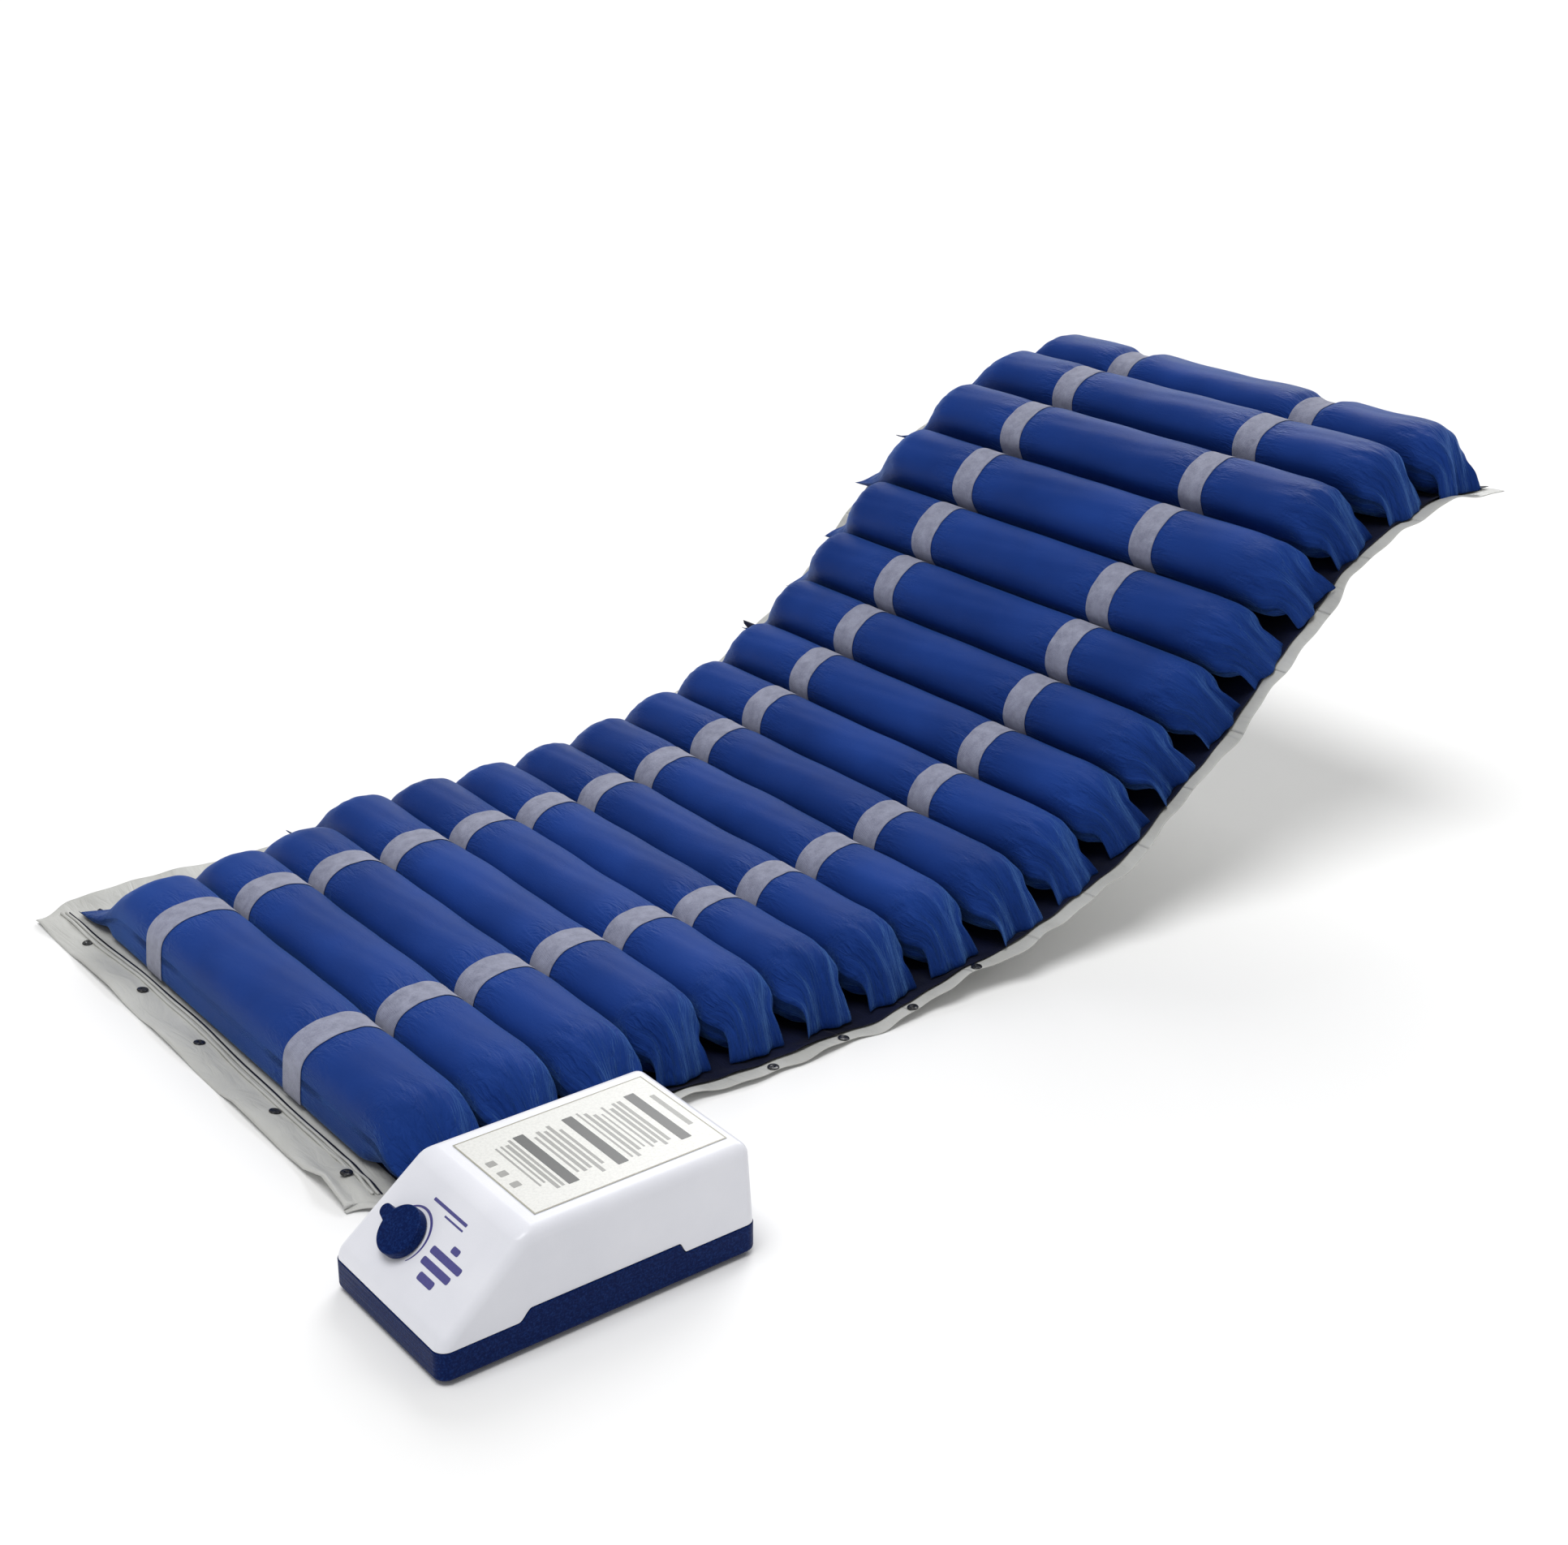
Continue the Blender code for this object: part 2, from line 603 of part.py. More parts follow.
def knob(pump):
    """The pressure knob: a round body with a pointer lobe, on a spindle that goes through the cover."""
    axis = empty("knob_axis", pump, on_slope(KNOB_ALONG_SLOPE, KNOB_Y), (0, -slope_angle(), 0))
    reach, lobe = KNOB_POINTER_REACH, KNOB_POINTER_RADIUS
    flare = lobe * POINTER_FLARE
    spread = math.acos((KNOB_RADIUS**2 + reach**2 - flare**2) / (2 * KNOB_RADIUS * reach))
    rest = math.radians(KNOB_REST_DEG)
    outline = []
    for k in range(KNOB_STEPS + 1):
        angle = rest + spread + (math.tau - 2 * spread) * k / KNOB_STEPS
        outline.append((KNOB_RADIUS * math.cos(angle), KNOB_RADIUS * math.sin(angle)))
    for k in range(POINTER_STEPS + 1):
        angle = rest - math.pi / 2 + math.pi * k / POINTER_STEPS
        x = reach * math.cos(rest) + lobe * math.cos(angle)
        y = reach * math.sin(rest) + lobe * math.sin(angle)
        outline.append((x, y))
    shape = bmesh.new()
    low = shape.faces.new([shape.verts.new((x, y, KNOB_FLOAT)) for x, y in outline])
    raised = bmesh.ops.extrude_face_region(shape, geom=[low])["geom"]
    top = [item for item in raised if isinstance(item, bmesh.types.BMVert)]
    bmesh.ops.translate(shape, vec=(0, 0, KNOB_HEIGHT), verts=top)
    body = solid("pressure_knob", shape, "pump_navy", axis)
    spindle = rod(SPINDLE_RADIUS, SPINDLE_TOP - SPINDLE_LENGTH, SPINDLE_TOP)
    combine(body, helper("knob_spindle", spindle, axis), "UNION")

    bore, radius = SPINDLE_RADIUS + HOLE_CLEARANCE, REGULATOR_RADIUS
    low, floor, top = REGULATOR_LEVELS
    profile = [(0, low), (radius, low), (radius, top), (bore, top), (bore, floor), (0, floor)]
    solid("pressure_regulator", turned(profile), "works_plastic", axis)


def end_fittings(pump):
    """Two barbed air outlets, the mains lead's gland and the mains switch, all in the back wall."""
    spigot, tip = OUTLET_SPIGOT_RADIUS, 0.006 + OUTLET_LENGTH
    # (radius, distance out from the wall's centre): spigot, flange, neck, two barbs, then the bore
    outlet = [(0, -0.008), (spigot, -0.008), (spigot, 0.0025), (0.0075, 0.0025), (0.0075, 0.005)]
    outlet += [(0.0036, 0.006), (0.0036, 0.013), (0.0046, 0.013), (0.0036, 0.019), (0.0046, 0.019)]
    outlet += [(0.0034, tip), (0.0018, tip), (0.0018, 0.002), (0, 0.002)]
    for name, y in zip(("air_outlet_a", "air_outlet_b"), OUTLET_Y):
        solid(name, turned(outlet, "X", (END_WALL_X, y, OUTLET_Z)), "works_plastic", pump)
    spigot = GLAND_SPIGOT_RADIUS
    gland = [(0, -0.008), (spigot, -0.008), (spigot, 0.0025), (0.0085, 0.0025), (0.0085, 0.0055)]
    gland += [(0.0055, 0.009), (0.0018, 0.009), (0.0018, 0.001), (0, 0.001)]
    solid("mains_gland", turned(gland, "X", (END_WALL_X, GLAND_Y, GLAND_Z)), "rubber", pump)

    pivot = empty("switch_axis", pump, (END_WALL_X, SWITCH_Y, SWITCH_Z))
    depth, width, height = SWITCH_SIZE
    outline = [(-depth / 2, -height * 0.3), (-depth / 2, height * 0.3), (0.0, height / 2)]
    outline += [(0.0035, height / 2), (0.0022, 0.0), (0.0050, -height / 2), (0.0, -height / 2)]
    solid("mains_switch", prism(outline, width), "rubber", pivot)


def electromagnet(pump):
    core = block(CORE_SIZE, (0, 0, WORKS_Z))
    solid("magnet_core", core, "steel", pump)
    width, height = (side + 2 * COIL_CLEARANCE for side in CORE_SIZE[1:])
    size = (COIL_LENGTH, width + 2 * COIL_BUILD - COIL_SIDE_TRIM, height + 2 * COIL_BUILD)
    coil = solid("magnet_coil", block(size, (0, 0, WORKS_Z)), "copper", pump)
    rounded(coil, COIL_EDGE_RADIUS, 2)
    bore = block((COIL_LENGTH + CUT_REACH, width, height), (0, 0, WORKS_Z))
    combine(coil, helper("coil_bore", bore, pump), "DIFFERENCE")


def electromagnet(pump):
    core = block(CORE_SIZE, (0, 0, WORKS_Z))
    solid("magnet_core", core, "steel", pump)
    length, width, height = CORE_SIZE
    reach = 0.0005
    size = (COIL_LENGTH, width + 2 * (reach + COIL_BUILD) - 0.004, height + 2 * (reach + COIL_BUILD))
    coil = solid("magnet_coil", block(size, (0, 0, WORKS_Z)), "copper", pump)
    rounded(coil, 0.003, 2)
    bore = (COIL_LENGTH + 0.02, width + 2 * reach, height + 2 * reach)
    combine(coil, helper("coil_bore", block(bore, (0, 0, WORKS_Z)), pump), "DIFFERENCE")


def air_side(pump, name, side):
    """One swing arm with its magnet, the diaphragm that it works, and the valve block behind that."""
    pivot = empty("arm_axis_" + name, pump, (ARM_PIVOT_X, side * ARM_Y, WORKS_Z))
    lever = block((ARM_LENGTH, ARM_THICKNESS, ARM_HEIGHT), (ARM_LENGTH / 2, 0, 0))
    arm = solid("swing_arm_" + name, lever, "steel", pivot)
    offset = ARM_MAGNET_OFFSET
    magnet = block(ARM_MAGNET_SIZE, (ARM_LENGTH - offset, -side * offset, 0))
    hub = rod(ARM_HUB_RADIUS, -ARM_HUB_REACH, ARM_HUB_REACH)
    combine(arm, helper("arm_additions_" + name, merged([magnet, hub]), pivot), "UNION")

    near = ARM_Y + ARM_THICKNESS / 2 + DIAPHRAGM_CLEARANCE
    rim, waist, face = DIAPHRAGM_RADIUS, DIAPHRAGM_RADIUS * DIAPHRAGM_WAIST, DIAPHRAGM_RADIUS * DIAPHRAGM_FACE
    profile = [(0, 0.0), (face, 0.0), (rim, 0.003), (waist, 0.0055), (rim, 0.008), (waist, 0.011)]
    profile += [(waist, DIAPHRAGM_LENGTH), (0, DIAPHRAGM_LENGTH)]
    if side < 0:
        profile = [(radius, -height) for radius, height in profile]
    solid("diaphragm_" + name, turned(profile, "Y", (0, side * near, WORKS_Z)), "rubber", pump)

    far = near + DIAPHRAGM_LENGTH + VALVE_BLOCK_GAP + VALVE_BLOCK_SIZE[1] / 2
    shape = block(VALVE_BLOCK_SIZE, (0, side * far, WORKS_Z))
    body = solid("valve_block_" + name, shape, "works_plastic", pump)
    rounded(body, VALVE_BLOCK_EDGE, 2)


def distributor(pump):
    """A slow motor that turns the disc which feeds air to the odd cells and then the even cells."""
    floor = BASE_UNDERSIDE + WALL + WORKS_CLEARANCE
    top = floor + MOTOR_HEIGHT
    shaft, shaft_top = MOTOR_SHAFT_RADIUS, top + MOTOR_SHAFT_HEIGHT
    profile = [(0, floor), (MOTOR_RADIUS, floor), (MOTOR_RADIUS, top)]
    profile += [(shaft, top), (shaft, shaft_top), (0, shaft_top)]
    solid("distributor_motor", turned(profile, centre=(MOTOR_X, 0, 0)), "steel", pump)
    axis = empty("distributor_axis", pump, (MOTOR_X, 0, shaft_top + WORKS_CLEARANCE))
    radius, height = DISTRIBUTOR_RADIUS, DISTRIBUTOR_HEIGHT
    disc = solid("air_distributor", rod(radius, 0, height, segments=ROUND_SEGMENTS), "works_plastic", axis)
    ports = []
    for x in (-DISTRIBUTOR_PORT_X, DISTRIBUTOR_PORT_X):
        low = height - DISTRIBUTOR_PORT_DEPTH
        ports.append(rod(DISTRIBUTOR_PORT_RADIUS, low, height + CUT_REACH, centre=(x, 0, 0)))
    combine(disc, helper("distributor_ports", merged(ports), axis), "DIFFERENCE")


def board_and_filter(pump):
    low = BASE_UNDERSIDE + WALL + BOARD_LIFT
    board = solid("circuit_board", block(BOARD_SIZE, (BOARD_X, 0, low)), "board", pump)
    parts = [rod(CAPACITOR_RADIUS, 0, CAPACITOR_HEIGHT, centre=(*CAPACITOR_PLACE, low))]
    for size, place in ((TRANSFORMER_SIZE, TRANSFORMER_PLACE), (RELAY_SIZE, RELAY_PLACE)):
        parts.append(block(size, (*place, low + size[2] / 2)))
    combine(board, helper("board_components", merged(parts), pump), "UNION")
    centre = (FILTER_X, 0, BASE_UNDERSIDE + WALL + WORKS_CLEARANCE + FILTER_SIZE[2] / 2)
    solid("air_filter", block(FILTER_SIZE, centre), "rubber", pump)


def air_pump():
    pump = empty("pump", None, (PUMP_X, PUMP_Y, 0))
    casing(pump)
    knob(pump)
    end_fittings(pump)
    electromagnet(pump)
    for name, side in (("left", 1), ("right", -1)):
        air_side(pump, name, side)
    distributor(pump)
    board_and_filter(pump)


clear_scene()
mattress()
air_pump()
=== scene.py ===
"""Looks of the pressure relief mattress and its air pump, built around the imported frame.

The cells are flat sewn tubes inflated by cloth simulation, then fitted to their places on the base sheet.
A sheet point is given by its distance along the sheet from cell 1's axis, its side position and its height.
"""

import json
import math

import bmesh
import bpy
import numpy as np
from mathutils import Matrix, Vector


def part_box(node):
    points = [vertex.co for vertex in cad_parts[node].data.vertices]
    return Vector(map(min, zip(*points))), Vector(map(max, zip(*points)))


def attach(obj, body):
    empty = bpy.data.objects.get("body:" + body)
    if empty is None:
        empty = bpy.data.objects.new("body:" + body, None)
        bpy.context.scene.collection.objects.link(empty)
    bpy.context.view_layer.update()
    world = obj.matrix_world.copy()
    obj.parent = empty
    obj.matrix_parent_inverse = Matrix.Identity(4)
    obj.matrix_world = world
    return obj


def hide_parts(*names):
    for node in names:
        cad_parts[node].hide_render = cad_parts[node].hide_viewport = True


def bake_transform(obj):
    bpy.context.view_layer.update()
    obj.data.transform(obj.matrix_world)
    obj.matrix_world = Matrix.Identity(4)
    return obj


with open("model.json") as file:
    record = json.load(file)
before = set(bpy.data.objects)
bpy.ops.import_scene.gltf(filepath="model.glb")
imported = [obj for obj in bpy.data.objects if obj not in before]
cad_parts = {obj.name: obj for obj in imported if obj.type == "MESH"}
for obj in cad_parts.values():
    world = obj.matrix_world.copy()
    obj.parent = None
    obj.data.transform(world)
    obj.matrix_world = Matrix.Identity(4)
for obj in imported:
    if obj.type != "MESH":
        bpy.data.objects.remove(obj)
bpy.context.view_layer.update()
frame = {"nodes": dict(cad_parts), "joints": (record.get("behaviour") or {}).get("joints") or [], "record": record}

# ---- mattress layout, from the frame
JOINTS = {joint["name"]: joint for joint in frame["joints"]}
CELL_COUNT = sum(name.startswith("air_cell_") for name in frame["nodes"])
FOOT_NODES = frame["record"]["behaviour"]["bodies"]["foot_section"]
FLAT_CELLS = sum(name.startswith("air_cell_") for name in FOOT_NODES)
HINGES = [Vector(JOINTS["back_raise"]["pos_m"])]
HINGES += [Vector(JOINTS[f"back_bend_{k:02d}"]["pos_m"]) for k in range(FLAT_CELLS + 2, CELL_COUNT + 1)]
PITCH = (HINGES[1] - HINGES[0]).length
SHEET_START = HINGES[0].x - (FLAT_CELLS - 0.5) * PITCH  # distance along the sheet is 0 here, at cell 1's axis
RAISE_LIMIT = 1.2  # the back's bends may grow to this many times their rest angle
STRAP_Y = 0.190
STRAP_WIDTH = 0.045
FOOT_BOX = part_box("base_sheet_foot")
SHEET_LEFT, SHEET_RIGHT = FOOT_BOX[1].y, FOOT_BOX[0].y - 0.008  # the rippled margin spreads a little


def strip_slope(name):
    """How steeply a strip of the base sheet climbs, from its largest face."""
    face = max(frame["nodes"][name].data.polygons, key=lambda polygon: polygon.area)
    return math.atan(-face.normal.x / face.normal.z)


SLOPES = [0.0] + [strip_slope(f"base_strip_{k:02d}") for k in range(FLAT_CELLS + 1, CELL_COUNT + 1)]
BENDS = [after - before for before, after in zip(SLOPES, SLOPES[1:])]


def smooth_step(value):
    value = np.clip(value, 0, 1)
    return value * value * (3 - 2 * value)


def body_name(section):
    """The body of a section: 0 is the flat foot section, and 1 is the first raised link."""
    return "foot_section" if section == 0 else f"back_link_{FLAT_CELLS + section:02d}"


def section_of(cell):
    return max(0, cell - FLAT_CELLS)


def carried(hinge, slope, reach, y, height):
    """World points of a slope that starts at a hinge, from arrays of reach up it, side and height over it."""
    x = hinge.x + reach * np.cos(slope) - height * np.sin(slope)
    z = hinge.z + reach * np.sin(slope) + height * np.cos(slope)
    return np.stack(np.broadcast_arrays(x, y, z), -1)


def rigid_place(section, along, y, height):
    """World points of arrays of sheet coordinates, as the rigid section carries them."""
    number = max(0, section - 1)
    reach = along - (FLAT_CELLS - 0.5 + number) * PITCH
    return carried(HINGES[number], SLOPES[section], reach, y, height)


BLEND_SHARE = 0.30  # the sheet turns over this share of a link on each side of a hinge


def bent_place(number, along, y, height):
    """World points near a hinge (0 is the first), where the sheet turns from one section to the next."""
    reach = along - (FLAT_CELLS - 0.5 + number) * PITCH
    slope = SLOPES[number] + BENDS[number] * smooth_step((reach / (BLEND_SHARE * PITCH) + 1) / 2)
    return carried(HINGES[number], slope, reach, y, height)


# ---- mesh helpers
def link_object(name, mesh, *materials):
    obj = bpy.data.objects.new(name, mesh)
    bpy.context.scene.collection.objects.link(obj)
    for material in materials:
        mesh.materials.append(material)
    mesh.shade_smooth()
    return obj


def grid_faces(indices, wrap=False):
    """Quads between neighbouring rows and columns of an index grid; wrap closes it over its rows."""
    if wrap:
        indices = np.concatenate([indices, indices[:1]])
    corners = (indices[:-1, :-1], indices[1:, :-1], indices[1:, 1:], indices[:-1, 1:])
    return np.stack(corners, -1).reshape(-1, 4)


def mesh_from(name, points, flat_coordinates=None, faces=None):
    """A grid of points as a mesh of quads, or one with its own faces; its UV map holds metres of fabric."""
    if faces is None:
        faces = grid_faces(np.arange(points.size // 3).reshape(points.shape[:2]))
    mesh = bpy.data.meshes.new(name)
    mesh.from_pydata(points.reshape(-1, 3).tolist(), [], faces.tolist())
    if flat_coordinates is not None:
        layer = mesh.uv_layers.new(name="fabric")
        corner_points = np.empty(len(mesh.loops), np.int32)
        mesh.loops.foreach_get("vertex_index", corner_points)
        corners = flat_coordinates.reshape(-1, 2)[corner_points]
        layer.data.foreach_set("uv", corners.astype(np.float32).ravel())
    mesh.update()
    return mesh


def add_modifier(obj, kind, **settings):
    modifier = obj.modifiers.new(kind.lower(), kind)
    for key, value in settings.items():
        setattr(modifier, key, value)
    return modifier


def subdivided(obj):
    add_modifier(obj, "SUBSURF", levels=1, render_levels=1)


def baked(obj):
    """Replaces an object's mesh with its evaluated one, so that no modifier is left."""
    graph = bpy.context.evaluated_depsgraph_get()
    mesh = bpy.data.meshes.new_from_object(obj.evaluated_get(graph))
    obj.modifiers.clear()
    obj.data = mesh


def bevel(obj, width, segments, degrees):
    """Rounds the edges that are steeper than an angle."""
    add_modifier(obj, "BEVEL", width=width, segments=segments, limit_method="ANGLE",
                 angle_limit=math.radians(degrees))


def sharpen(obj, degrees):
    """Smooth shading that breaks at edges steeper than an angle."""
    obj.data.shade_smooth()
    obj.data.set_sharp_from_angle(angle=math.radians(degrees))


def mesh_of(name, shape):
    """A mesh from a bmesh, which it frees."""
    mesh = bpy.data.meshes.new(name)
    shape.to_mesh(mesh)
    shape.free()
    return mesh


# ---- materials
class Nodes:
    """A short way to build a material's node tree around its Principled shader."""

    def __init__(self, name, colour, roughness, **numbers):
        self.material = bpy.data.materials.new(name)
        self.material.use_nodes = True
        self.tree = self.material.node_tree
        self.shader = self.tree.nodes["Principled BSDF"]
        numbers.update(Base_Color=(*colour, 1.0), Roughness=roughness)
        for key, value in numbers.items():
            self.shader.inputs[key.replace("_", " ")].default_value = value

    def add(self, kind, inputs=None, **settings):
        node = self.tree.nodes.new("ShaderNode" + kind)
        for key, value in settings.items():
            setattr(node, key, value)
        for key, value in (inputs or {}).items():
            if isinstance(value, bpy.types.NodeSocket):
                self.tree.links.new(value, node.inputs[key])
            else:
                node.inputs[key].default_value = value
        return node

    def link(self, source, socket):
        self.tree.links.new(source, self.shader.inputs[socket])

    def coordinates(self, kind="Object", scale=(1, 1, 1), turn=(0, 0, 0)):
        source = self.add("TexCoord").outputs[kind]
        return self.add("Mapping", {"Vector": source, "Scale": scale, "Rotation": turn}).outputs["Vector"]

    def axes(self, kind="Object"):
        return self.add("SeparateXYZ", {"Vector": self.coordinates(kind)}).outputs

    def noise(self, scale, detail=2.0, rough=0.5, distortion=0.0, kind="Object", turn=0.0):
        """Noise at one scale, or stretched by a scale for each axis and turned in its plane."""
        stretched = isinstance(scale, tuple)
        place = self.coordinates(kind, scale if stretched else (1, 1, 1), (0, 0, turn))
        inputs = {"Vector": place, "Scale": 1.0 if stretched else scale, "Detail": detail,
                  "Roughness": rough, "Distortion": distortion}
        return self.add("TexNoise", inputs).outputs["Fac"]

    def math(self, operation, *values, clamp=False):
        return self.add("Math", dict(enumerate(values)), operation=operation, use_clamp=clamp).outputs[0]

    def wave(self, value, length):
        return self.math("SINE", self.math("MULTIPLY", value, math.tau / length))

    def away_from(self, value, middle=0.5):
        return self.math("ABSOLUTE", self.math("SUBTRACT", value, middle))

    def spread(self, value, low, high, to_low=0.0, to_high=1.0):
        inputs = {"Value": value, "From Min": low, "From Max": high, "To Min": to_low, "To Max": to_high}
        return self.add("MapRange", inputs).outputs["Result"]

    def tint(self, pattern, low, high, first, second):
        """The base colour, from the first to the second as the pattern goes from low to high."""
        inputs = {0: self.spread(pattern, low, high), 6: (*first, 1.0), 7: (*second, 1.0)}
        self.link(self.add("Mix", inputs, data_type="RGBA").outputs[2], "Base Color")

    def roughen(self, pattern, least, most):
        self.link(self.spread(pattern, 0.3, 0.7, least, most), "Roughness")

    def emboss(self, *layers):
        """Bump from (height, distance) pairs, each one on top of the one before it."""
        below = {}
        for height, distance in layers:
            normal = self.add("Bump", {"Height": height, "Distance": distance, "Strength": 1.0, **below})
            below = {"Normal": normal.outputs["Normal"]}
        self.link(below["Normal"], "Normal")

    def coat(self, pattern, low, high, first, second, depth):
        """Tint and bump from one pattern, to finish a material."""
        self.tint(pattern, low, high, first, second)
        self.emboss((pattern, depth))
        return self.material


CELL_THREAD, STRAP_RIB = 0.0011, 0.0022  # metres from one thread or rib to the next


def cell_fabric():
    """Coated satin nylon: fine weave, wrinkles that gather at the straps and ends, and a soft sheen."""
    m = Nodes("cell_fabric_satin", (0.009, 0.040, 0.215), 0.42, Sheen_Weight=0.50, Sheen_Roughness=0.27,
              Sheen_Tint=(0.20, 0.46, 1.0, 1.0), Specular_IOR_Level=0.07,
              Specular_Tint=(0.40, 0.62, 1.0, 1.0))
    across_flat, along_flat, _ = m.axes("UV")
    patches = m.noise((7, 5, 7), 3.0)
    m.tint(patches, 0.35, 0.70, (0.0095, 0.036, 0.192), (0.0145, 0.052, 0.265))
    m.roughen(patches, 0.36, 0.50)

    from_middle = m.math("ABSOLUTE", along_flat)
    near_strap = m.spread(m.away_from(from_middle, STRAP_Y), 0.018, 0.075, 1.0, 0.0)
    near_end = m.spread(from_middle, 0.33, 0.47)
    gather = m.math("ADD", m.math("MULTIPLY", near_strap, 0.75), m.math("ADD", near_end, 0.05), clamp=True)
    lengthwise = m.noise((95, 16, 1), 4.0, 0.55, 0.9, "UV", 0.16)
    slanting = m.noise((60, 22, 1), 3.0, 0.5, 1.4, "UV", -0.55)
    ridges = m.math("ADD", m.away_from(lengthwise), m.away_from(slanting))
    weave = m.math("MULTIPLY", m.wave(across_flat, CELL_THREAD), m.wave(along_flat, CELL_THREAD))
    m.emboss((m.math("MULTIPLY", ridges, gather), 0.0062), (weave, 0.00006))
    return m.material


def coated_sheet():
    """Off-white coated sheet: soft creases, faint handling marks and a fine leathery grain."""
    m = Nodes("coated_sheet", (0.70, 0.70, 0.66), 0.46, Specular_IOR_Level=0.4)
    marks = m.noise((9, 5, 9), 4.0, 0.6)
    m.tint(marks, 0.35, 0.72, (0.46, 0.462, 0.44), (0.58, 0.583, 0.56))
    m.roughen(marks, 0.38, 0.55)
    creases = m.away_from(m.noise((30, 9, 30), 5.0, 0.5, 1.2, turn=0.5))
    m.emboss((creases, 0.004), (m.noise(900.0), 0.00015))
    return m.material


def navy_fabric_and_painted_shade():
    """The dark navy layer under the cells, with a coarse weave; its near-black colour is partly navy cloth and
    partly painted shade of the gaps under the cells' ends.
    """
    # Painted shade, in part: the near-black base colour stands for the shade in the gaps under the cells' ends, as
    # well as for the navy cloth.
    m = Nodes("navy_fabric_and_painted_shade", (0.002, 0.004, 0.020), 0.60, Sheen_Weight=0.05, Specular_IOR_Level=0.15)
    m.tint(m.noise((14, 14, 14), 3.0), 0.3, 0.7, (0.001, 0.002, 0.010), (0.003, 0.006, 0.030))
    m.emboss((m.noise((60, 20, 60), 3.0), 0.004), (m.noise(700.0), 0.0002))
    return m.material


def strap_webbing():
    """Pale grey brushed band: a twill of fine ribs under a short nap, mottled a little."""
    m = Nodes("strap_webbing", (0.36, 0.365, 0.46), 0.85, Sheen_Weight=0.35, Sheen_Roughness=0.6)
    mottle, fibres = m.noise(70.0, 4.0, 0.65), m.noise(620.0, 3.0, 0.7)
    tone = m.math("ADD", m.math("MULTIPLY", mottle, 0.6), m.math("MULTIPLY", fibres, 0.4))
    m.tint(tone, 0.36, 0.64, (0.17, 0.183, 0.275), (0.32, 0.335, 0.46))
    x, y, _ = m.axes("UV")
    ribs = m.wave(m.math("ADD", x, y), STRAP_RIB)
    m.emboss((m.math("ADD", m.math("MULTIPLY", ribs, 0.35), fibres), 0.0005), (mottle, 0.0014))
    return m.material


def moulded_plastic(name, dark, light, roughness, grain, depth, **numbers):
    """Moulded plastic with a fine spark-eroded grain, slight tone drift and handling marks."""
    m = Nodes(name, light, roughness, **numbers)
    drift = m.noise(6.0, 4.0, 0.6)
    m.tint(drift, 0.3, 0.7, dark, light)
    m.roughen(drift, roughness * 0.85, roughness * 1.2)
    m.emboss((m.noise(grain, 3.0, 0.6), depth))
    return m.material


def navy_plastic():
    """The base's navy plastic: long faint drag lines along the moulding and a speckled grain."""
    m = Nodes("navy_plastic", (0.001, 0.009, 0.052), 0.45, Specular_IOR_Level=0.05)
    speckle, lines = m.noise(420.0, 3.0, 0.7), m.noise((9, 9, 420), 3.0, 0.6)
    m.tint(speckle, 0.45, 0.75, (0.002, 0.010, 0.068), (0.010, 0.034, 0.150))
    m.roughen(lines, 0.28, 0.46)
    m.emboss((speckle, 0.00022), (lines, 0.0005))
    return m.material


def brushed_metal(name, dark, light, roughness):
    m = Nodes(name, light, roughness, Metallic=1.0)
    streaks = m.noise((12, 260, 260), 3.0, 0.6)
    m.roughen(streaks, roughness * 0.8, roughness * 1.3)
    return m.coat(streaks, 0.3, 0.7, dark, light, 0.00006)


def rubber():
    m = Nodes("rubber_matte", (0.022, 0.022, 0.026), 0.75)
    dust = m.noise(160.0, 4.0, 0.7)
    return m.coat(dust, 0.5, 0.8, (0.018, 0.018, 0.022), (0.060, 0.060, 0.064), 0.0003)


def foam():
    m = Nodes("filter_foam", (0.04, 0.04, 0.042), 0.95)
    cells = m.add("TexVoronoi", {"Vector": m.coordinates(), "Scale": 650.0}).outputs["Distance"]
    return m.coat(cells, 0.1, 0.6, (0.008, 0.008, 0.009), (0.075, 0.075, 0.080), 0.0008)


def winding():
    m = Nodes("copper_winding", (0.70, 0.33, 0.15), 0.34, Metallic=1.0)
    turns = m.wave(m.axes()["X"], 0.0009)
    return m.coat(turns, -1.0, 0.2, (0.30, 0.11, 0.04), (0.78, 0.40, 0.20), 0.0003)


def circuit_green():
    m = Nodes("circuit_green", (0.02, 0.16, 0.07), 0.38)
    tracks = m.add("TexBrick", {"Vector": m.coordinates(scale=(150, 150, 1)), "Scale": 1.0,
                                "Color1": (0.015, 0.13, 0.055, 1), "Color2": (0.03, 0.20, 0.09, 1),
                                "Mortar": (0.10, 0.30, 0.14, 1), "Mortar Size": 0.03}).outputs
    m.link(tracks["Color"], "Base Color")
    m.emboss((tracks["Fac"], 0.0001))
    return m.material


def film(name, colour):
    """Printed film: one flat ink colour, with a slight orange peel and uneven ink."""
    m = Nodes(name, colour, 0.35, Coat_Weight=0.3, Coat_Roughness=0.25)
    m.tint(m.noise(300.0, 4.0, 0.7), 0.4, 0.8, colour, tuple(0.80 * c for c in colour))
    m.emboss((m.noise(90.0), 0.00008))
    return m.material


def lacquered_stud():
    m = Nodes("stud_lacquer", (0.020, 0.020, 0.022), 0.30, Metallic=0.6, Coat_Weight=0.4)
    worn = m.noise(500.0, 3.0, 0.6)
    return m.coat(worn, 0.5, 0.75, (0.014, 0.014, 0.016), (0.11, 0.11, 0.115), 0.0001)


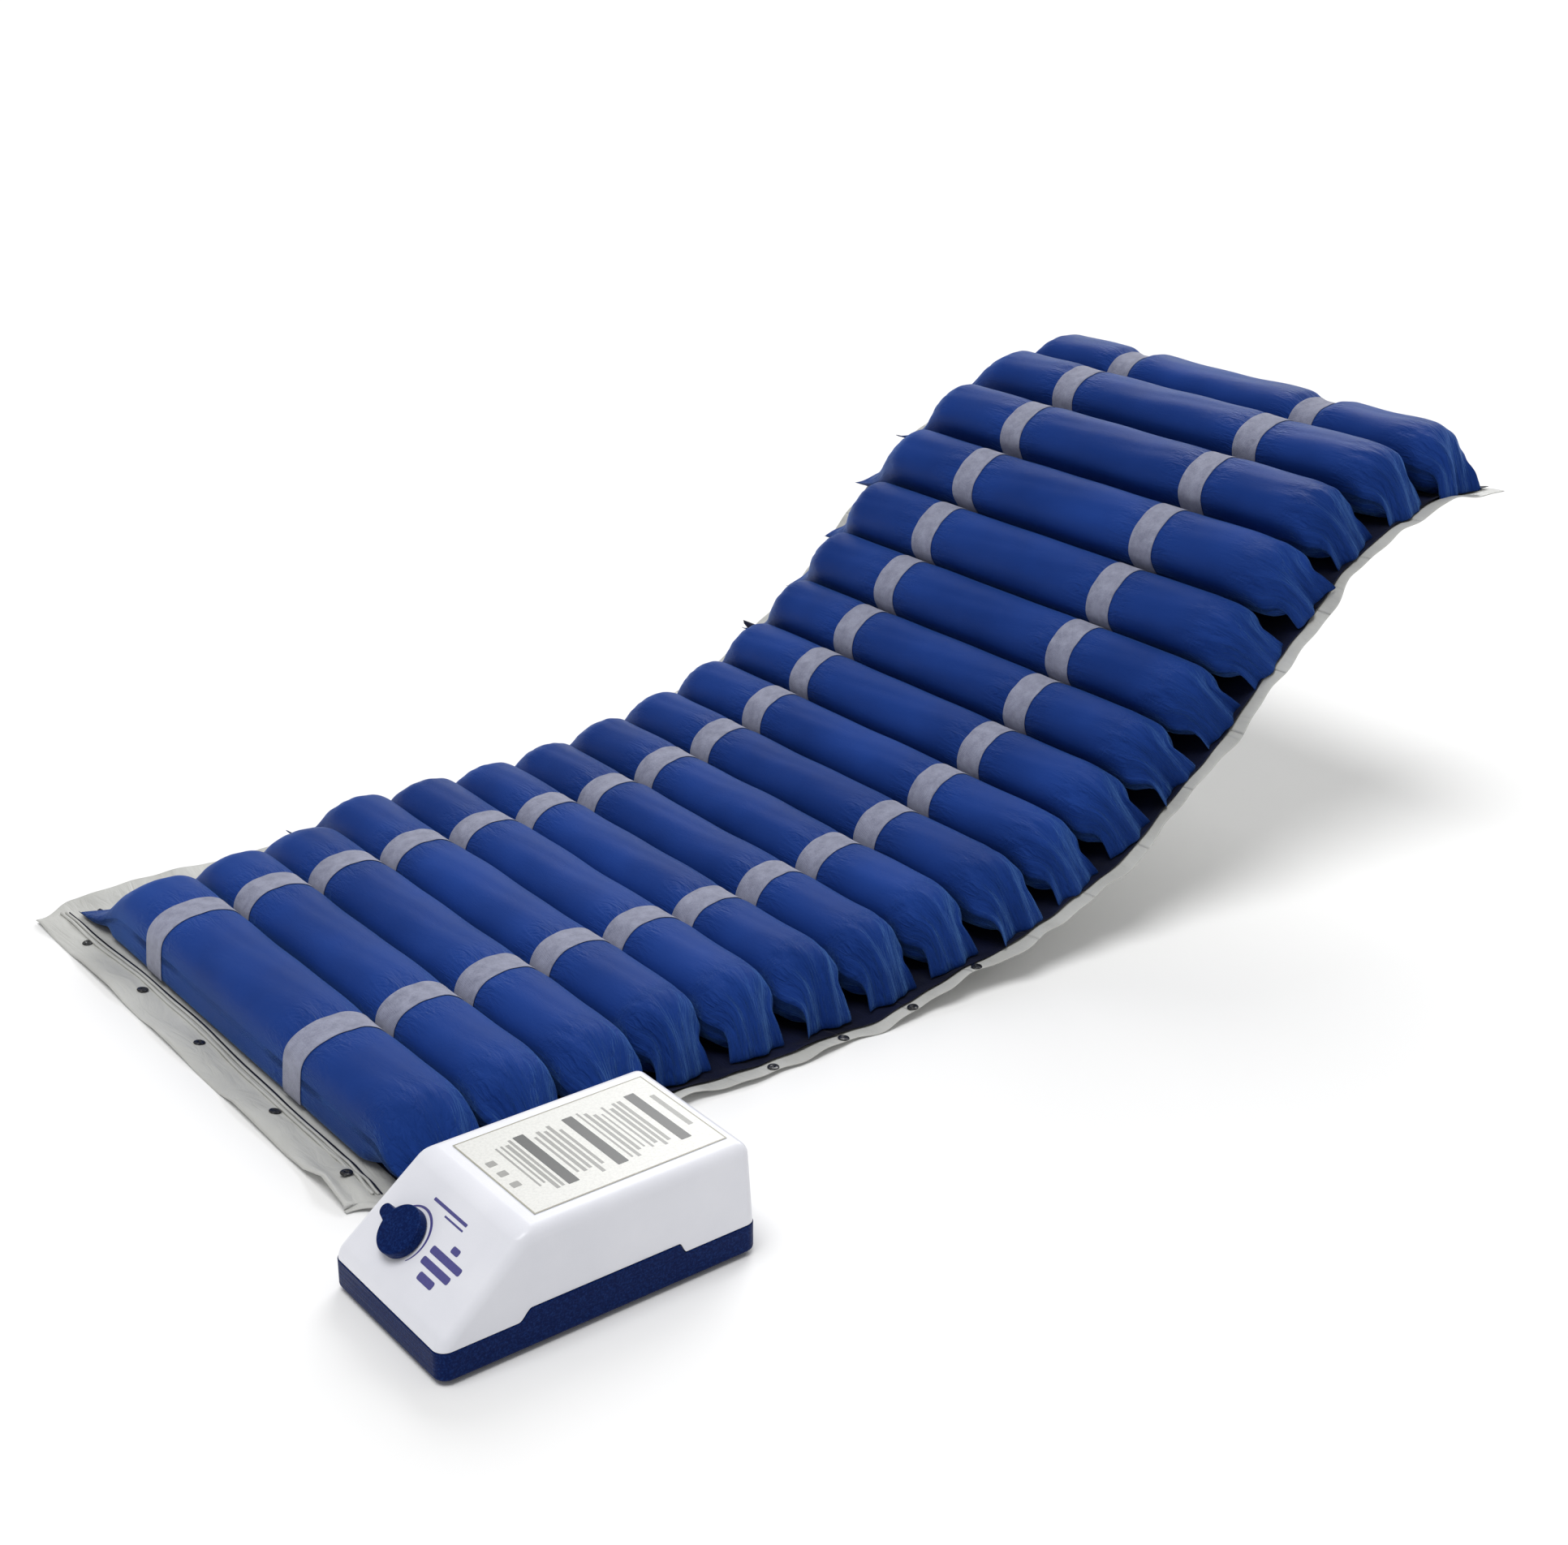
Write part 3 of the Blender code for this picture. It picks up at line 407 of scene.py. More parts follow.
# ---- air cells: a sewn flat tube, inflated
FLAT_WIDTH = 0.160
FLAT_LENGTH = 0.985
KNEE = 0.355  # beyond this distance from the middle the tube comes down to its end seam
RIGHT_TIP, LEFT_TIP = 0.449, 0.4615  # where the end seams start, from the middle of the sheet
ACROSS = 26
ALONG = 160
FRAMES = 34
RING = 2 * ACROSS
TUBE_RADIUS = FLAT_WIDTH / math.pi
BELLY_REACH = 0.34  # the tube is held along its belly up to this distance from its middle
CLOTH = {"quality": 5, "mass": 0.05, "tension_stiffness": 30, "compression_stiffness": 15,
         "shear_stiffness": 8, "bending_stiffness": 0.4, "tension_damping": 8, "compression_damping": 8,
         "shear_damping": 8, "bending_damping": 0.5, "air_damping": 2.0, "use_pressure": True,
         "uniform_pressure_force": 9, "vertex_group_mass": "pins"}


def ring_of(top, under):
    """One closed ring per station from a pair of layers: the top layer, then the underside."""
    return np.concatenate([top, under[-2:0:-1]])


def sewn_indices():
    """Indices of a ring grid whose two layers share their end seams: the ones kept, and where each goes."""
    index = np.arange(RING * (ALONG + 1)).reshape(RING, ALONG + 1)
    for column in (0, ALONG):
        index[ACROSS + 1:, column] = index[ACROSS - 1:0:-1, column]
    keep, remap = np.unique(index, return_inverse=True)
    return keep, remap.reshape(index.shape)


def flat_tube():
    """Flat coordinates of the tube's ring, as it lies before inflation: across, along, and which layer."""
    across = np.linspace(-FLAT_WIDTH / 2, FLAT_WIDTH / 2, ACROSS + 1)
    along = np.linspace(-FLAT_LENGTH / 2, FLAT_LENGTH / 2, ALONG + 1)
    across, along = np.meshgrid(across, along, indexing="ij")
    layer = np.zeros_like(across)
    layer[1:-1, 1:-1] = 1.0
    return ring_of(across, across), ring_of(along, along), ring_of(layer, -layer)


def starting_shape(across, along, layer, rng):
    """The tube as its inflation starts: round, its ends gathered into folds and brought down to the sheet."""
    x, y, z = across.copy(), along.copy(), np.full_like(across, 0.003)
    side_share = across / FLAT_WIDTH
    for side, tip, keep, fold, skirt, ear in ((-1, RIGHT_TIP, 0.50, 0.0075, 0.020, 0.002),
                                              (1, LEFT_TIP, 0.74, 0.0050, 0.014, 0.010)):
        seam_distance = FLAT_LENGTH / 2 - side * along
        reach = FLAT_LENGTH / 2 - KNEE
        gather = smooth_step(1 - seam_distance / reach)
        waves, phase = rng.uniform(1.1, 1.7), rng.uniform(0, math.tau)
        folds = np.sin(math.tau * waves * side_share + phase)
        folds += 0.45 * np.sin(math.tau * 2.3 * waves * side_share + 2 * phase)
        ears = (2 * np.abs(side_share)) ** 3
        inset, rise = 0.45 * skirt, 0.75 * skirt
        past = np.clip((seam_distance - skirt) / (reach - skirt), 0, 1)
        on_skirt = seam_distance < skirt
        out = np.where(on_skirt, tip - inset * seam_distance / skirt,
                       tip - inset - past * (tip - inset - KNEE))
        up = np.where(on_skirt, 0.004 + rise * seam_distance / skirt,
                      (0.004 + rise) * (1 - smooth_step(past)) + 0.003 * smooth_step(past))
        ended = side * along > KNEE
        y = np.where(ended, side * (out + gather * (0.8 * fold * folds + ear * ears)), y)
        z = np.where(ended, up + gather * 0.0012 * folds, z)
        x = np.where(ended, across * (1 - (1 - keep) * gather), x)
    turn = math.pi * np.where(layer > 0, FLAT_WIDTH - np.abs(across), np.abs(across)) / FLAT_WIDTH
    turn = np.where(layer == 0, math.pi / 2, turn)
    round_x = np.sign(across) * TUBE_RADIUS * np.sin(turn)
    round_z = TUBE_RADIUS * (1 - np.cos(turn)) + 0.002
    share = np.sqrt(smooth_step((FLAT_LENGTH / 2 - np.abs(along) - 0.016) / 0.085))
    puckers = 0.0035 * share * (1 - share) * 4 * np.sin(math.tau * 4.3 * side_share + 9 * rng.random())
    x = x * (1 - share) + round_x * share
    z = z * (1 - share) + round_z * share + layer * 0.004 * (1 - share) + puckers * np.abs(layer)
    return x, y, z


def inflated_tube(seed):
    """Ring positions, shape (RING, ALONG + 1, 3), of one tube after inflation, standing on height 0."""
    rng = np.random.default_rng(seed)
    across, along, layer = flat_tube()
    x, y, z = starting_shape(across, along, layer, rng)
    keep, remap = sewn_indices()
    rest = np.stack([across, along, layer * 0.004], -1).reshape(-1, 3)[keep]
    start = np.stack([x, y, z], -1).reshape(-1, 3)[keep]
    mesh = bpy.data.meshes.new("tube")
    mesh.from_pydata(rest.tolist(), [], grid_faces(remap, wrap=True).tolist())
    tube = link_object("tube", mesh)
    tube.shape_key_add(name="flat")
    key = tube.shape_key_add(name="start")
    key.data.foreach_set("co", start.astype(np.float32).ravel())
    key.value = 1.0
    pins = tube.vertex_groups.new(name="pins")
    pins.add([int(i) for i in np.unique(remap[:, (0, 1, ALONG - 1, ALONG)])], 1.0, "REPLACE")
    belly = ACROSS + ACROSS // 2
    held = np.flatnonzero(np.abs(along[0]) < BELLY_REACH)
    pins.add([int(i) for i in np.unique(remap[belly - 1:belly + 2][:, held])], 0.6, "REPLACE")
    cloth = add_modifier(tube, "CLOTH")
    for setting, value in CLOTH.items():
        setattr(cloth.settings, setting, value)
    cloth.settings.effector_weights.gravity = 0
    cloth.settings.rest_shape_key = tube.data.shape_keys.key_blocks["flat"]
    cloth.collision_settings.use_collision = False
    cloth.point_cache.frame_start, cloth.point_cache.frame_end = 1, FRAMES
    scene = bpy.context.scene
    scene.frame_start, scene.frame_end = 1, FRAMES
    for number in range(1, FRAMES + 1):
        scene.frame_set(number)
    graph = bpy.context.evaluated_depsgraph_get()
    done = tube.evaluated_get(graph).to_mesh()
    points = np.empty(len(done.vertices) * 3, np.float32)
    done.vertices.foreach_get("co", points)
    bpy.data.objects.remove(tube, do_unlink=True)
    scene.frame_set(1)
    return points.reshape(-1, 3).astype(float)[remap]


SECTION_POWER = 2.4  # superellipse exponent of a fitted cell's cross-section
REST_HEIGHT = 0.0016  # a cell's underside over the middle of the sheet
CREST_HEIGHTS = (0.086, 0.092, 0.096)  # of the first cells, and of every later one
FRONT_REACH = 0.0655  # how far cell 1 bulges towards the foot flap
NEIGHBOUR_GAP = 0.0006


def crest_height(cell):
    return CREST_HEIGHTS[cell - 1] if cell <= len(CREST_HEIGHTS) else 0.0995


def slot_limits(cell, rise):
    """How far a cell may reach to each neighbour, at each height, clear of it when the sheet bends."""
    section = section_of(cell)
    before = max(BENDS[section - 1], 0.0) if cell > FLAT_CELLS else 0.0
    after = max(BENDS[section], 0.0) if FLAT_CELLS <= cell < CELL_COUNT else 0.0
    front, back = (PITCH / 2 - NEIGHBOUR_GAP - rise * math.tan(bend * RAISE_LIMIT / 2)
                   for bend in (before, after))
    return (FRONT_REACH + 0.004 * (1 - rise / 0.045) if cell == 1 else front), back


LEFT_INSETS = {1: 0.056, 2: 0.048, 3: 0.028}  # the first cells stop short of the others at the left


def end_taper(cell, rng):
    """How much of its height a cell loses at its left end, where it runs out into a flat pointed corner."""
    return {1: 0.84, 2: 0.82, 3: 0.78}.get(cell, 0.68) + rng.uniform(-0.05, 0.05)


def shaped_ends(across, up, y, seam_distance, cell, rng):
    """Full, steep right ends that narrow above a flared hem, and left ends that flatten to a corner."""
    height = (up + 1) / 2
    right, left = y < -KNEE + 0.06, y > KNEE - 0.12
    crest = np.clip(height.max(axis=0, keepdims=True), 0.04, 1)
    steepness = {1: 1.0, 2: 1.3, 3: 1.3}.get(cell, 1.6)
    height = np.where(right, height * (1 - (1 - crest) ** steepness) / crest, height)
    pinch = (steepness - 1) * rng.uniform(0.35, 0.52) * np.exp(-(((seam_distance - 0.036) / 0.021) ** 2))
    across = np.where(right, across * (1 - pinch), across)
    reach = 0.190 if cell <= 3 else 0.150
    flattened = smooth_step((reach - seam_distance) / reach)
    height = np.where(left, height * (1 - end_taper(cell, rng) * flattened), height)
    spread = smooth_step((0.090 - seam_distance) / 0.090)
    across = np.where(left, across * (1 + 0.24 * spread), across)
    corner = np.clip(1 - seam_distance / 0.070, 0, 1) * np.clip(-across, 0, 1) ** 2
    height = np.where(left, height + rng.uniform(0.04, 0.14) * corner, height)
    slant = 0.006 * corner - 0.012 * spread * np.clip(across, -1, 1)
    inset = LEFT_INSETS.get(cell, 0.0) * smooth_step((y - 0.220) / 0.220)
    return across, height * 2 - 1, y + np.where(left, slant, 0.0) - inset


def crease_depth(across, seam_distance, y, rng):
    """Creases that run into the ends and out of the strap edges, as a distance out of the cell's surface."""
    phases = rng.uniform(0, math.tau, 4)
    share = np.arctan2(across, 0.6) * 0.9
    near_end = np.exp(-(((seam_distance - 0.085) / 0.050) ** 2))
    slanted = np.sin(math.tau * (2.6 * share + 13 * seam_distance) + phases[0])
    fanned = np.sin(math.tau * (4.1 * share - 5 * seam_distance) + phases[1] + np.sin(60 * seam_distance))
    from_strap = np.abs(np.abs(y) - STRAP_Y) - STRAP_WIDTH / 2
    near_strap = np.exp(-((np.clip(from_strap, 0, 1) / 0.024) ** 2)) * smooth_step(from_strap / 0.006)
    pleats = np.sin(math.tau * 7.0 * share + phases[2] + 25 * from_strap)
    along_belly = np.sin(math.tau * (1.4 * share + y / 0.26) + phases[3])
    depth = 0.0018 * near_end * (np.minimum(slanted, 0.2) + 0.7 * fanned)
    depth = depth + 0.0012 * near_strap * pleats + 0.0005 * along_belly
    return depth * np.clip((0.94 - np.abs(across)) / 0.25, 0, 1)


def fitted_cell(ring, cell, rng):
    """Ring positions of one cell in its place: (distance from the link's middle, side, height)."""
    ring = ring.copy()
    if rng.random() < 0.5:
        ring[:, :, 0] *= -1
        ring = np.concatenate([ring[ACROSS::-1], ring[:ACROSS:-1]])
    x, y, z = (ring[:, :, axis] for axis in range(3))
    middle = np.abs(y) < 0.25
    half_width, top, low = np.abs(x[middle]).max(), z[middle].max(), z[middle].min()
    across, up = x / half_width, (z - low) / (top - low) * 2 - 1
    end = np.where(y < 0, RIGHT_TIP, LEFT_TIP) - np.abs(y)
    full = smooth_step((end - 0.045) / 0.06)
    radius = np.hypot(across, up) + 1e-9
    power = np.where((across < 0) & (up < 0) & (cell == 1), 8.0, SECTION_POWER)
    squared = (np.abs(across / radius) ** power + np.abs(up / radius) ** power) ** (-1 / power)
    squared = 1 + (squared - 1) * full
    across, up = across * squared, np.maximum(up * squared, -1.0)
    for side in (-1, 1):
        depth = 0.110 if cell == CELL_COUNT else 0.026 * (1 + 0.3 * rng.standard_normal())
        waist = depth * np.exp(-(((y - side * STRAP_Y) / 0.030) ** 4))
        across, up = across * (1 - 0.5 * waist), (up + 1) * (1 - waist) - 1
    seam_distance = FLAT_LENGTH / 2 - np.abs(flat_tube()[1])
    across, up, y = shaped_ends(across, up, y, seam_distance, cell, rng)
    rise = REST_HEIGHT + (up + 1) / 2 * (crest_height(cell) - REST_HEIGHT)
    sway = 0.0012 * np.sin(math.tau * (y / 0.31 + rng.random()))
    sway = sway + 0.0007 * np.sin(math.tau * (y / 0.13 + rng.random()))
    rise = rise + sway * np.clip(up, 0, 1) * full
    front, back = slot_limits(cell, rise)
    share = np.abs(across)
    share = np.where(share > 0.85, 0.85 + 0.15 * np.tanh((share - 0.85) / 0.15), share)
    wide = np.where(across < 0, -front, back) * share
    crease = crease_depth(across, seam_distance, y, rng) * np.clip(up + 0.5, 0, 1)
    radius = np.hypot(across, up) + 0.3
    wide, rise = wide + crease * across / radius, rise + crease * up / radius
    tip_shift = (0.016 if 4 <= cell <= 8 else 0.004) + rng.normal(0, 0.003)
    side_shift = np.where(y < 0, tip_shift, rng.normal(0, 0.003)) * (1 - full)
    return np.stack([wide, y + side_shift, rise], -1)


def strap_band(ring, side):
    """A band over one cell, a little proud of it, down to the sheet on both sides."""
    under = ACROSS // 4
    order = [*range(RING - under, RING), *range(ACROSS + 1 + under)]
    stations = side * STRAP_Y + np.linspace(-STRAP_WIDTH / 2, STRAP_WIDTH / 2, 9)
    band = np.empty((len(order), len(stations), 3))
    for row, ring_index in enumerate(order):
        line = ring[ring_index]
        for axis in (0, 2):
            band[row, :, axis] = np.interp(stations, line[:, 1], line[:, axis])
        band[row, :, 1] = stations
    run = np.gradient(band[:, :, (0, 2)], axis=0)
    run /= np.linalg.norm(run, axis=2, keepdims=True) + 1e-12
    outward = np.stack([-run[:, :, 1], run[:, :, 0]], -1)
    centre = np.array([0.0, 0.05])
    facing = np.sign((outward * (band[:, :, (0, 2)] - centre)).sum(2, keepdims=True))
    lifted = band[:, :, (0, 2)] + outward * facing * 0.0009
    band[:, :, 0], band[:, :, 2] = lifted[:, :, 0], np.maximum(lifted[:, :, 1], REST_HEIGHT)
    return band


def make_cells(blue, webbing):
    variants = 3
    tubes = [inflated_tube(seed) for seed in range(1, variants + 1)]
    across, along, _ = flat_tube()
    flat = np.stack([across, along], -1)
    flat[ACROSS + 1:, :, 0] += 0.37  # the underside takes its wrinkles from elsewhere in the pattern
    keep, remap = sewn_indices()
    flat, faces = flat.reshape(-1, 2)[keep], grid_faces(remap, wrap=True)
    for cell in range(1, CELL_COUNT + 1):
        rng = np.random.default_rng(70 + cell)
        section = section_of(cell)
        ring = fitted_cell(tubes[cell % variants], cell, rng)
        middle = (cell - 1) * PITCH
        placed = rigid_place(section, ring[:, :, 0] + middle, ring[:, :, 1], ring[:, :, 2])
        mesh = mesh_from(f"cell_{cell:02d}", placed.reshape(-1, 3)[keep], flat, faces)
        piece = link_object(mesh.name, mesh, blue)
        subdivided(piece)
        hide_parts(f"air_cell_{cell:02d}")
        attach(piece, body_name(section))
        for side, label in ((-1, "right"), (1, "left")):
            band = strap_band(ring, side)
            placed = rigid_place(section, band[:, :, 0] + middle, band[:, :, 1], band[:, :, 2])
            lengths = np.linalg.norm(np.diff(band[:, 4], axis=0), axis=1)
            run = np.concatenate([[0], np.cumsum(lengths)])
            flat_band = np.stack(np.broadcast_arrays(run[:, None], band[:, :, 1]), -1)
            name = f"strap_{cell:02d}_{label}"
            strap = link_object(name, mesh_from(name, placed, flat_band), webbing)
            add_modifier(strap, "SOLIDIFY", thickness=0.0009, offset=0.0)
            subdivided(strap)
            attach(strap, body_name(section))


# ---- base sheet, and the navy under layer whose near-black colour is partly painted shade
SHEET_FRONT = FOOT_BOX[0].x - 0.002
SHEET_END = SHEET_START + (CELL_COUNT - 0.5) * PITCH + 0.020
MARGIN_LINE = -0.418  # inboard of this the sheet lies flat under the cells
FLAP_LINE, FLAP_RUN = -0.060, 0.055  # the foot flap turns loose from here, over this distance


def side_positions():
    """Side positions of the sheet's grid, from the right edge to the left, close together in the margins."""
    right = np.linspace(0, 1, 15) ** 1.2 * (MARGIN_LINE - SHEET_RIGHT) + SHEET_RIGHT
    middle = np.linspace(MARGIN_LINE, -MARGIN_LINE, 20)[1:-1]
    left = SHEET_LEFT + (-MARGIN_LINE - SHEET_LEFT) * np.linspace(1, 0, 15) ** 1.2
    return np.concatenate([right, middle, left])


def margin_wave(along, seed):
    """A slow irregular wave along an edge, from -1 to 1."""
    rng = np.random.default_rng(seed)
    wave = np.zeros_like(along)
    for length, share in ((0.47, 0.45), (0.21, 0.35), (0.113, 0.30), (0.061, 0.12)):
        wave = wave + share * np.sin(math.tau * (along / length + rng.random()))
    return wave


def sheet_shape(along, y):
    """Side position and height of the white sheet, with rippled side margins and a soft foot flap."""
    right = smooth_step((MARGIN_LINE - y) / (MARGIN_LINE - SHEET_RIGHT))
    left = smooth_step((y + MARGIN_LINE) / (SHEET_LEFT + MARGIN_LINE))
    flap = smooth_step((FLAP_LINE - along) / FLAP_RUN)
    side = y + right * (0.0065 * margin_wave(along, 5) - 0.002) - left * 0.004 * margin_wave(along, 6)
    side = side - 0.030 * flap * left + 0.036 * flap * right
    height = right * (0.0065 + 0.0058 * margin_wave(along, 7))
    height = height + left * (0.0055 + 0.0045 * margin_wave(along, 8))
    ripple = 0.0042 * (1 + margin_wave(y, 9)) + 0.0030 * np.sin(math.tau * (y / 0.21 + along / 0.13))
    gather = np.exp(-(((y + 0.372) / 0.050) ** 2)) * (1 + np.sin(math.tau * (along + 0.6 * y) / 0.032))
    ripple = ripple + 0.0060 * gather
    height = height * (1 - flap) + flap * np.clip(ripple, 0.0, 0.02)
    return side, height


def sheet_pieces(name, low, high, sides, shape, base_height, thickness, material, replaced):
    """A sheet in one piece per hinge, each from mid-link to mid-link, plus the flat foot piece."""
    breaks = [low] + [SHEET_START + (FLAT_CELLS - 1 + k) * PITCH for k in range(len(HINGES))] + [high]
    for number, (start, end) in enumerate(zip(breaks, breaks[1:])):
        steps = max(12, round((end - start) / 0.0042))
        along, y = np.meshgrid(np.linspace(start, end, steps + 1), sides, indexing="ij")
        side, height = shape(along, y)
        height = height + base_height
        section = number - 1
        place = bent_place if number else rigid_place
        points = place(max(section, 0), along - SHEET_START, side, height)
        label = f"{name}_{FLAT_CELLS + number:02d}"
        piece = link_object(label, mesh_from(label, points, np.stack([along, y], -1)), material)
        if number == 0:
            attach(piece, "foot_section")
        else:
            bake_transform(piece)
        add_modifier(piece, "SOLIDIFY", thickness=thickness, offset=0.0)
        if replaced:
            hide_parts(f"base_strip_{FLAT_CELLS + number:02d}" if number else "base_sheet_foot")


UNDER_RIGHT, UNDER_LEFT = SHEET_RIGHT + 0.019, SHEET_LEFT - 0.026
PAINTED_SHADE_TAB_LENGTH = 0.042  # of the pointed tabs at the cells' left corners, beyond the layer's edge; the tabs are partly painted shade of the cells' dark left tips


def painted_shade_tab_reach(along):
    """How far the navy layer's left edge sticks out: a pointed tab at each cell's foot-side corner, partly painted
    shade of the cell's dark left tip.
    """
    rng = np.random.default_rng(31)
    sizes = rng.uniform(0.2, 0.7, CELL_COUNT)
    sizes[[0, 1, 2, 5, 11, CELL_COUNT - 2, CELL_COUNT - 1]] = 1.0
    reach = np.zeros_like(along)
    for cell, size in enumerate(sizes):
        corner = SHEET_START + (cell - 0.5) * PITCH + 0.009
        reach = reach + size * np.clip(1 - np.abs(along - corner) / 0.013, 0, 1) ** 1.3
    return reach


def under_shape(along, y):
    """Side position and height of the navy layer, seen between the cells' ends and the sheet's edge, where its
    near-black colour is partly painted shade of the gaps under the ends.
    """
    right = smooth_step((MARGIN_LINE - 0.004 - y) / (MARGIN_LINE - 0.004 - UNDER_RIGHT))
    left = smooth_step((y - 0.35) / (UNDER_LEFT - 0.35))
    tab = left**2 * painted_shade_tab_reach(along)
    side = y + right * 0.0045 * margin_wave(along, 15) - left * 0.003 * margin_wave(along, 16)
    side = side + PAINTED_SHADE_TAB_LENGTH * tab
    cells_along = [(cell - 1) * PITCH for cell in LEFT_INSETS] + [3 * PITCH]
    side = side - left * np.interp(along, cells_along, [*LEFT_INSETS.values(), 0.0])
    _, sheet_height = sheet_shape(along, side)
    height = sheet_height + 0.0008 + right * (0.0016 + 0.0014 * margin_wave(along * 2.3, 17)) + left * 0.001
    lift = np.interp(along, (2.3 * PITCH, 3 * PITCH), (0.001, 0.017))  # the first three tabs lie flat
    return side, height + lift * tab


def make_sheets(white, navy):
    sheet_pieces("base_sheet", SHEET_FRONT, SHEET_END, side_positions(), sheet_shape, -0.0005, 0.0008,
                 white, replaced=True)
    sides = np.interp(side_positions(), (SHEET_RIGHT, SHEET_LEFT), (UNDER_RIGHT, UNDER_LEFT))
    # The under layer's near-black navy is partly painted shade of the gaps under the cells' ends, and its tabs are
    # partly painted shade of the cells' dark left tips.
    sheet_pieces("under_layer_and_painted_shade", SHEET_START - 0.050, SHEET_END - 0.006, sides, under_shape, 0.0004, 0.0006,
                 navy, replaced=False)


def tube_along(name, path, radius, material):
    """A round piping of mesh along a path."""
    sides = 8
    run = np.gradient(path, axis=0)
    run /= np.linalg.norm(run, axis=1, keepdims=True)
    across = np.cross(run, (0.0, 0.0, 1.0))
    across /= np.linalg.norm(across, axis=1, keepdims=True)
    up = np.cross(across, run)
    turns = np.linspace(0, math.tau, sides, endpoint=False)[:, None, None]
    shape = path + radius * (np.cos(turns) * across + np.sin(turns) * up)
    index = np.arange(sides * len(path)).reshape(sides, len(path))
    mesh = bpy.data.meshes.new(name)
    caps = [index[::-1, 0].tolist(), index[:, -1].tolist()]
    mesh.from_pydata(shape.reshape(-1, 3).tolist(), [], grid_faces(index, wrap=True).tolist() + caps)
    return link_object(name, mesh, material)


TRIM_LINE = -0.0800  # the outer welt, along the sheet
STUD_LINE = -0.092
FLAP_STUDS_Y = (0.341, 0.166, 0.001, -0.200, -0.372)
MARGIN_STUDS_ALONG = (0.416, 0.526, 0.636, 0.746)


def make_flap_trim(white, dark):
    """The pair of piped welts that run beside cell 1, and a dark line beside them that is painted shade of the
    crease at cell 1's front edge.
    """
    y = np.linspace(SHEET_RIGHT + 0.046, SHEET_LEFT - 0.035, 90)
    # The third line is painted shade: a dark line in the crease where cell 1 meets the flap.
    lines = (("welt_outer", 0.0, 0.0021, white), ("welt_inner", 0.0065, 0.0019, white),
             ("painted_shade_line", 0.0108, 0.0010, dark))
    for name, offset, radius, material in lines:
        sway = 0.0022 * np.sin(math.tau * (y / 0.52 + 0.1)) + 0.0008 * np.sin(math.tau * (y / 0.19))
        along = TRIM_LINE + offset + sway - 0.010 * np.abs(y / 0.45) ** 4
        _, height = sheet_shape(along, y)
        piece = tube_along(name, rigid_place(0, along, y, height + radius * 0.7), radius, material)
        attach(piece, "foot_section")


def stud_mesh(name):
    """A press stud: a domed cap with a rolled rim and a dimple, turned from its profile."""
    profile = [(0.0, 0.0014), (0.0016, 0.0013), (0.0025, 0.0021), (0.0042, 0.0022), (0.0058, 0.0015),
               (0.0068, 0.0016), (0.0073, 0.0009), (0.0068, 0.0), (0.0, 0.0)]
    shape = bmesh.new()
    segments = 24
    rings = []
    for radius, height in profile:
        if radius == 0.0:
            rings.append([shape.verts.new((0, 0, height))])
            continue
        turns = [math.tau * k / segments for k in range(segments)]
        rings.append([shape.verts.new((radius * math.cos(t), radius * math.sin(t), height)) for t in turns])
    for first, second in zip(rings, rings[1:]):
        for k in range(segments):
            near = [first[k % len(first)], first[(k + 1) % len(first)]]
            far = [second[(k + 1) % len(second)], second[k % len(second)]]
            shape.faces.new(list(dict.fromkeys(near + far)))
    bmesh.ops.recalc_face_normals(shape, faces=shape.faces)
    return mesh_of(name, shape)


def make_studs(metal):
    flap = [(STUD_LINE, y) for y in FLAP_STUDS_Y]
    sides = (SHEET_RIGHT + 0.007, SHEET_LEFT - 0.010)
    margin = [(along, y) for along in MARGIN_STUDS_ALONG for y in sides]
    for number, (along, y) in enumerate(flap + margin, start=1):
        side, height = sheet_shape(np.array(along), np.array(y))
        section = 0 if along < (FLAT_CELLS - 0.5) * PITCH else 1 + int(along / PITCH - (FLAT_CELLS - 0.5))
        nearby = [sheet_shape(np.array(along + step), np.array(y))[1] for step in (-0.004, 0.004)]
        point = rigid_place(section, along, float(side), float(height))
        mesh = stud_mesh(f"press_stud_{number:02d}")
        piece = link_object(mesh.name, mesh, metal)
        tilt = math.atan2(float(nearby[1] - nearby[0]), 0.008) + SLOPES[section]
        piece.matrix_world = Matrix.Translation(Vector(point)) @ Matrix.Rotation(-tilt, 4, "Y")
        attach(piece, body_name(section))


# ---- pump
X, Y, Z = Vector((1, 0, 0)), Vector((0, 1, 0)), Vector((0, 0, 1))
COVER_BOX, BASE_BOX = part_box("pump_cover"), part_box("pump_base")
PUMP_CENTRE = Vector(((BASE_BOX[0].x + BASE_BOX[1].x) / 2, (BASE_BOX[0].y + BASE_BOX[1].y) / 2, 0))
PUMP_LENGTH, PUMP_WIDTH = BASE_BOX[1].x - BASE_BOX[0].x, BASE_BOX[1].y - BASE_BOX[0].y
PUMP_TOP, PUMP_UNDERSIDE = COVER_BOX[1].z, BASE_BOX[0].z
SEAM, SEAM_GAP = 0.037, 0.0004
PANEL_STEP, PANEL_SLANT = 0.0115, 0.016
PANEL_FRONT, PANEL_BACK = -0.083, 0.088
NOSE_STEP, SLOPE_LOW, SLOPE_RUN = 0.001, 0.046, 0.100
TOP_INSET, BACK_DRAFT = 0.006, 0.004  # the sides and the back wall lean in by these at the top
CASE_CORNER = 0.0140
KNOB_JOINT = JOINTS["knob_turn"]
SLOPE_UP = Vector((KNOB_JOINT["axis"][2], 0, -KNOB_JOINT["axis"][0])).normalized()
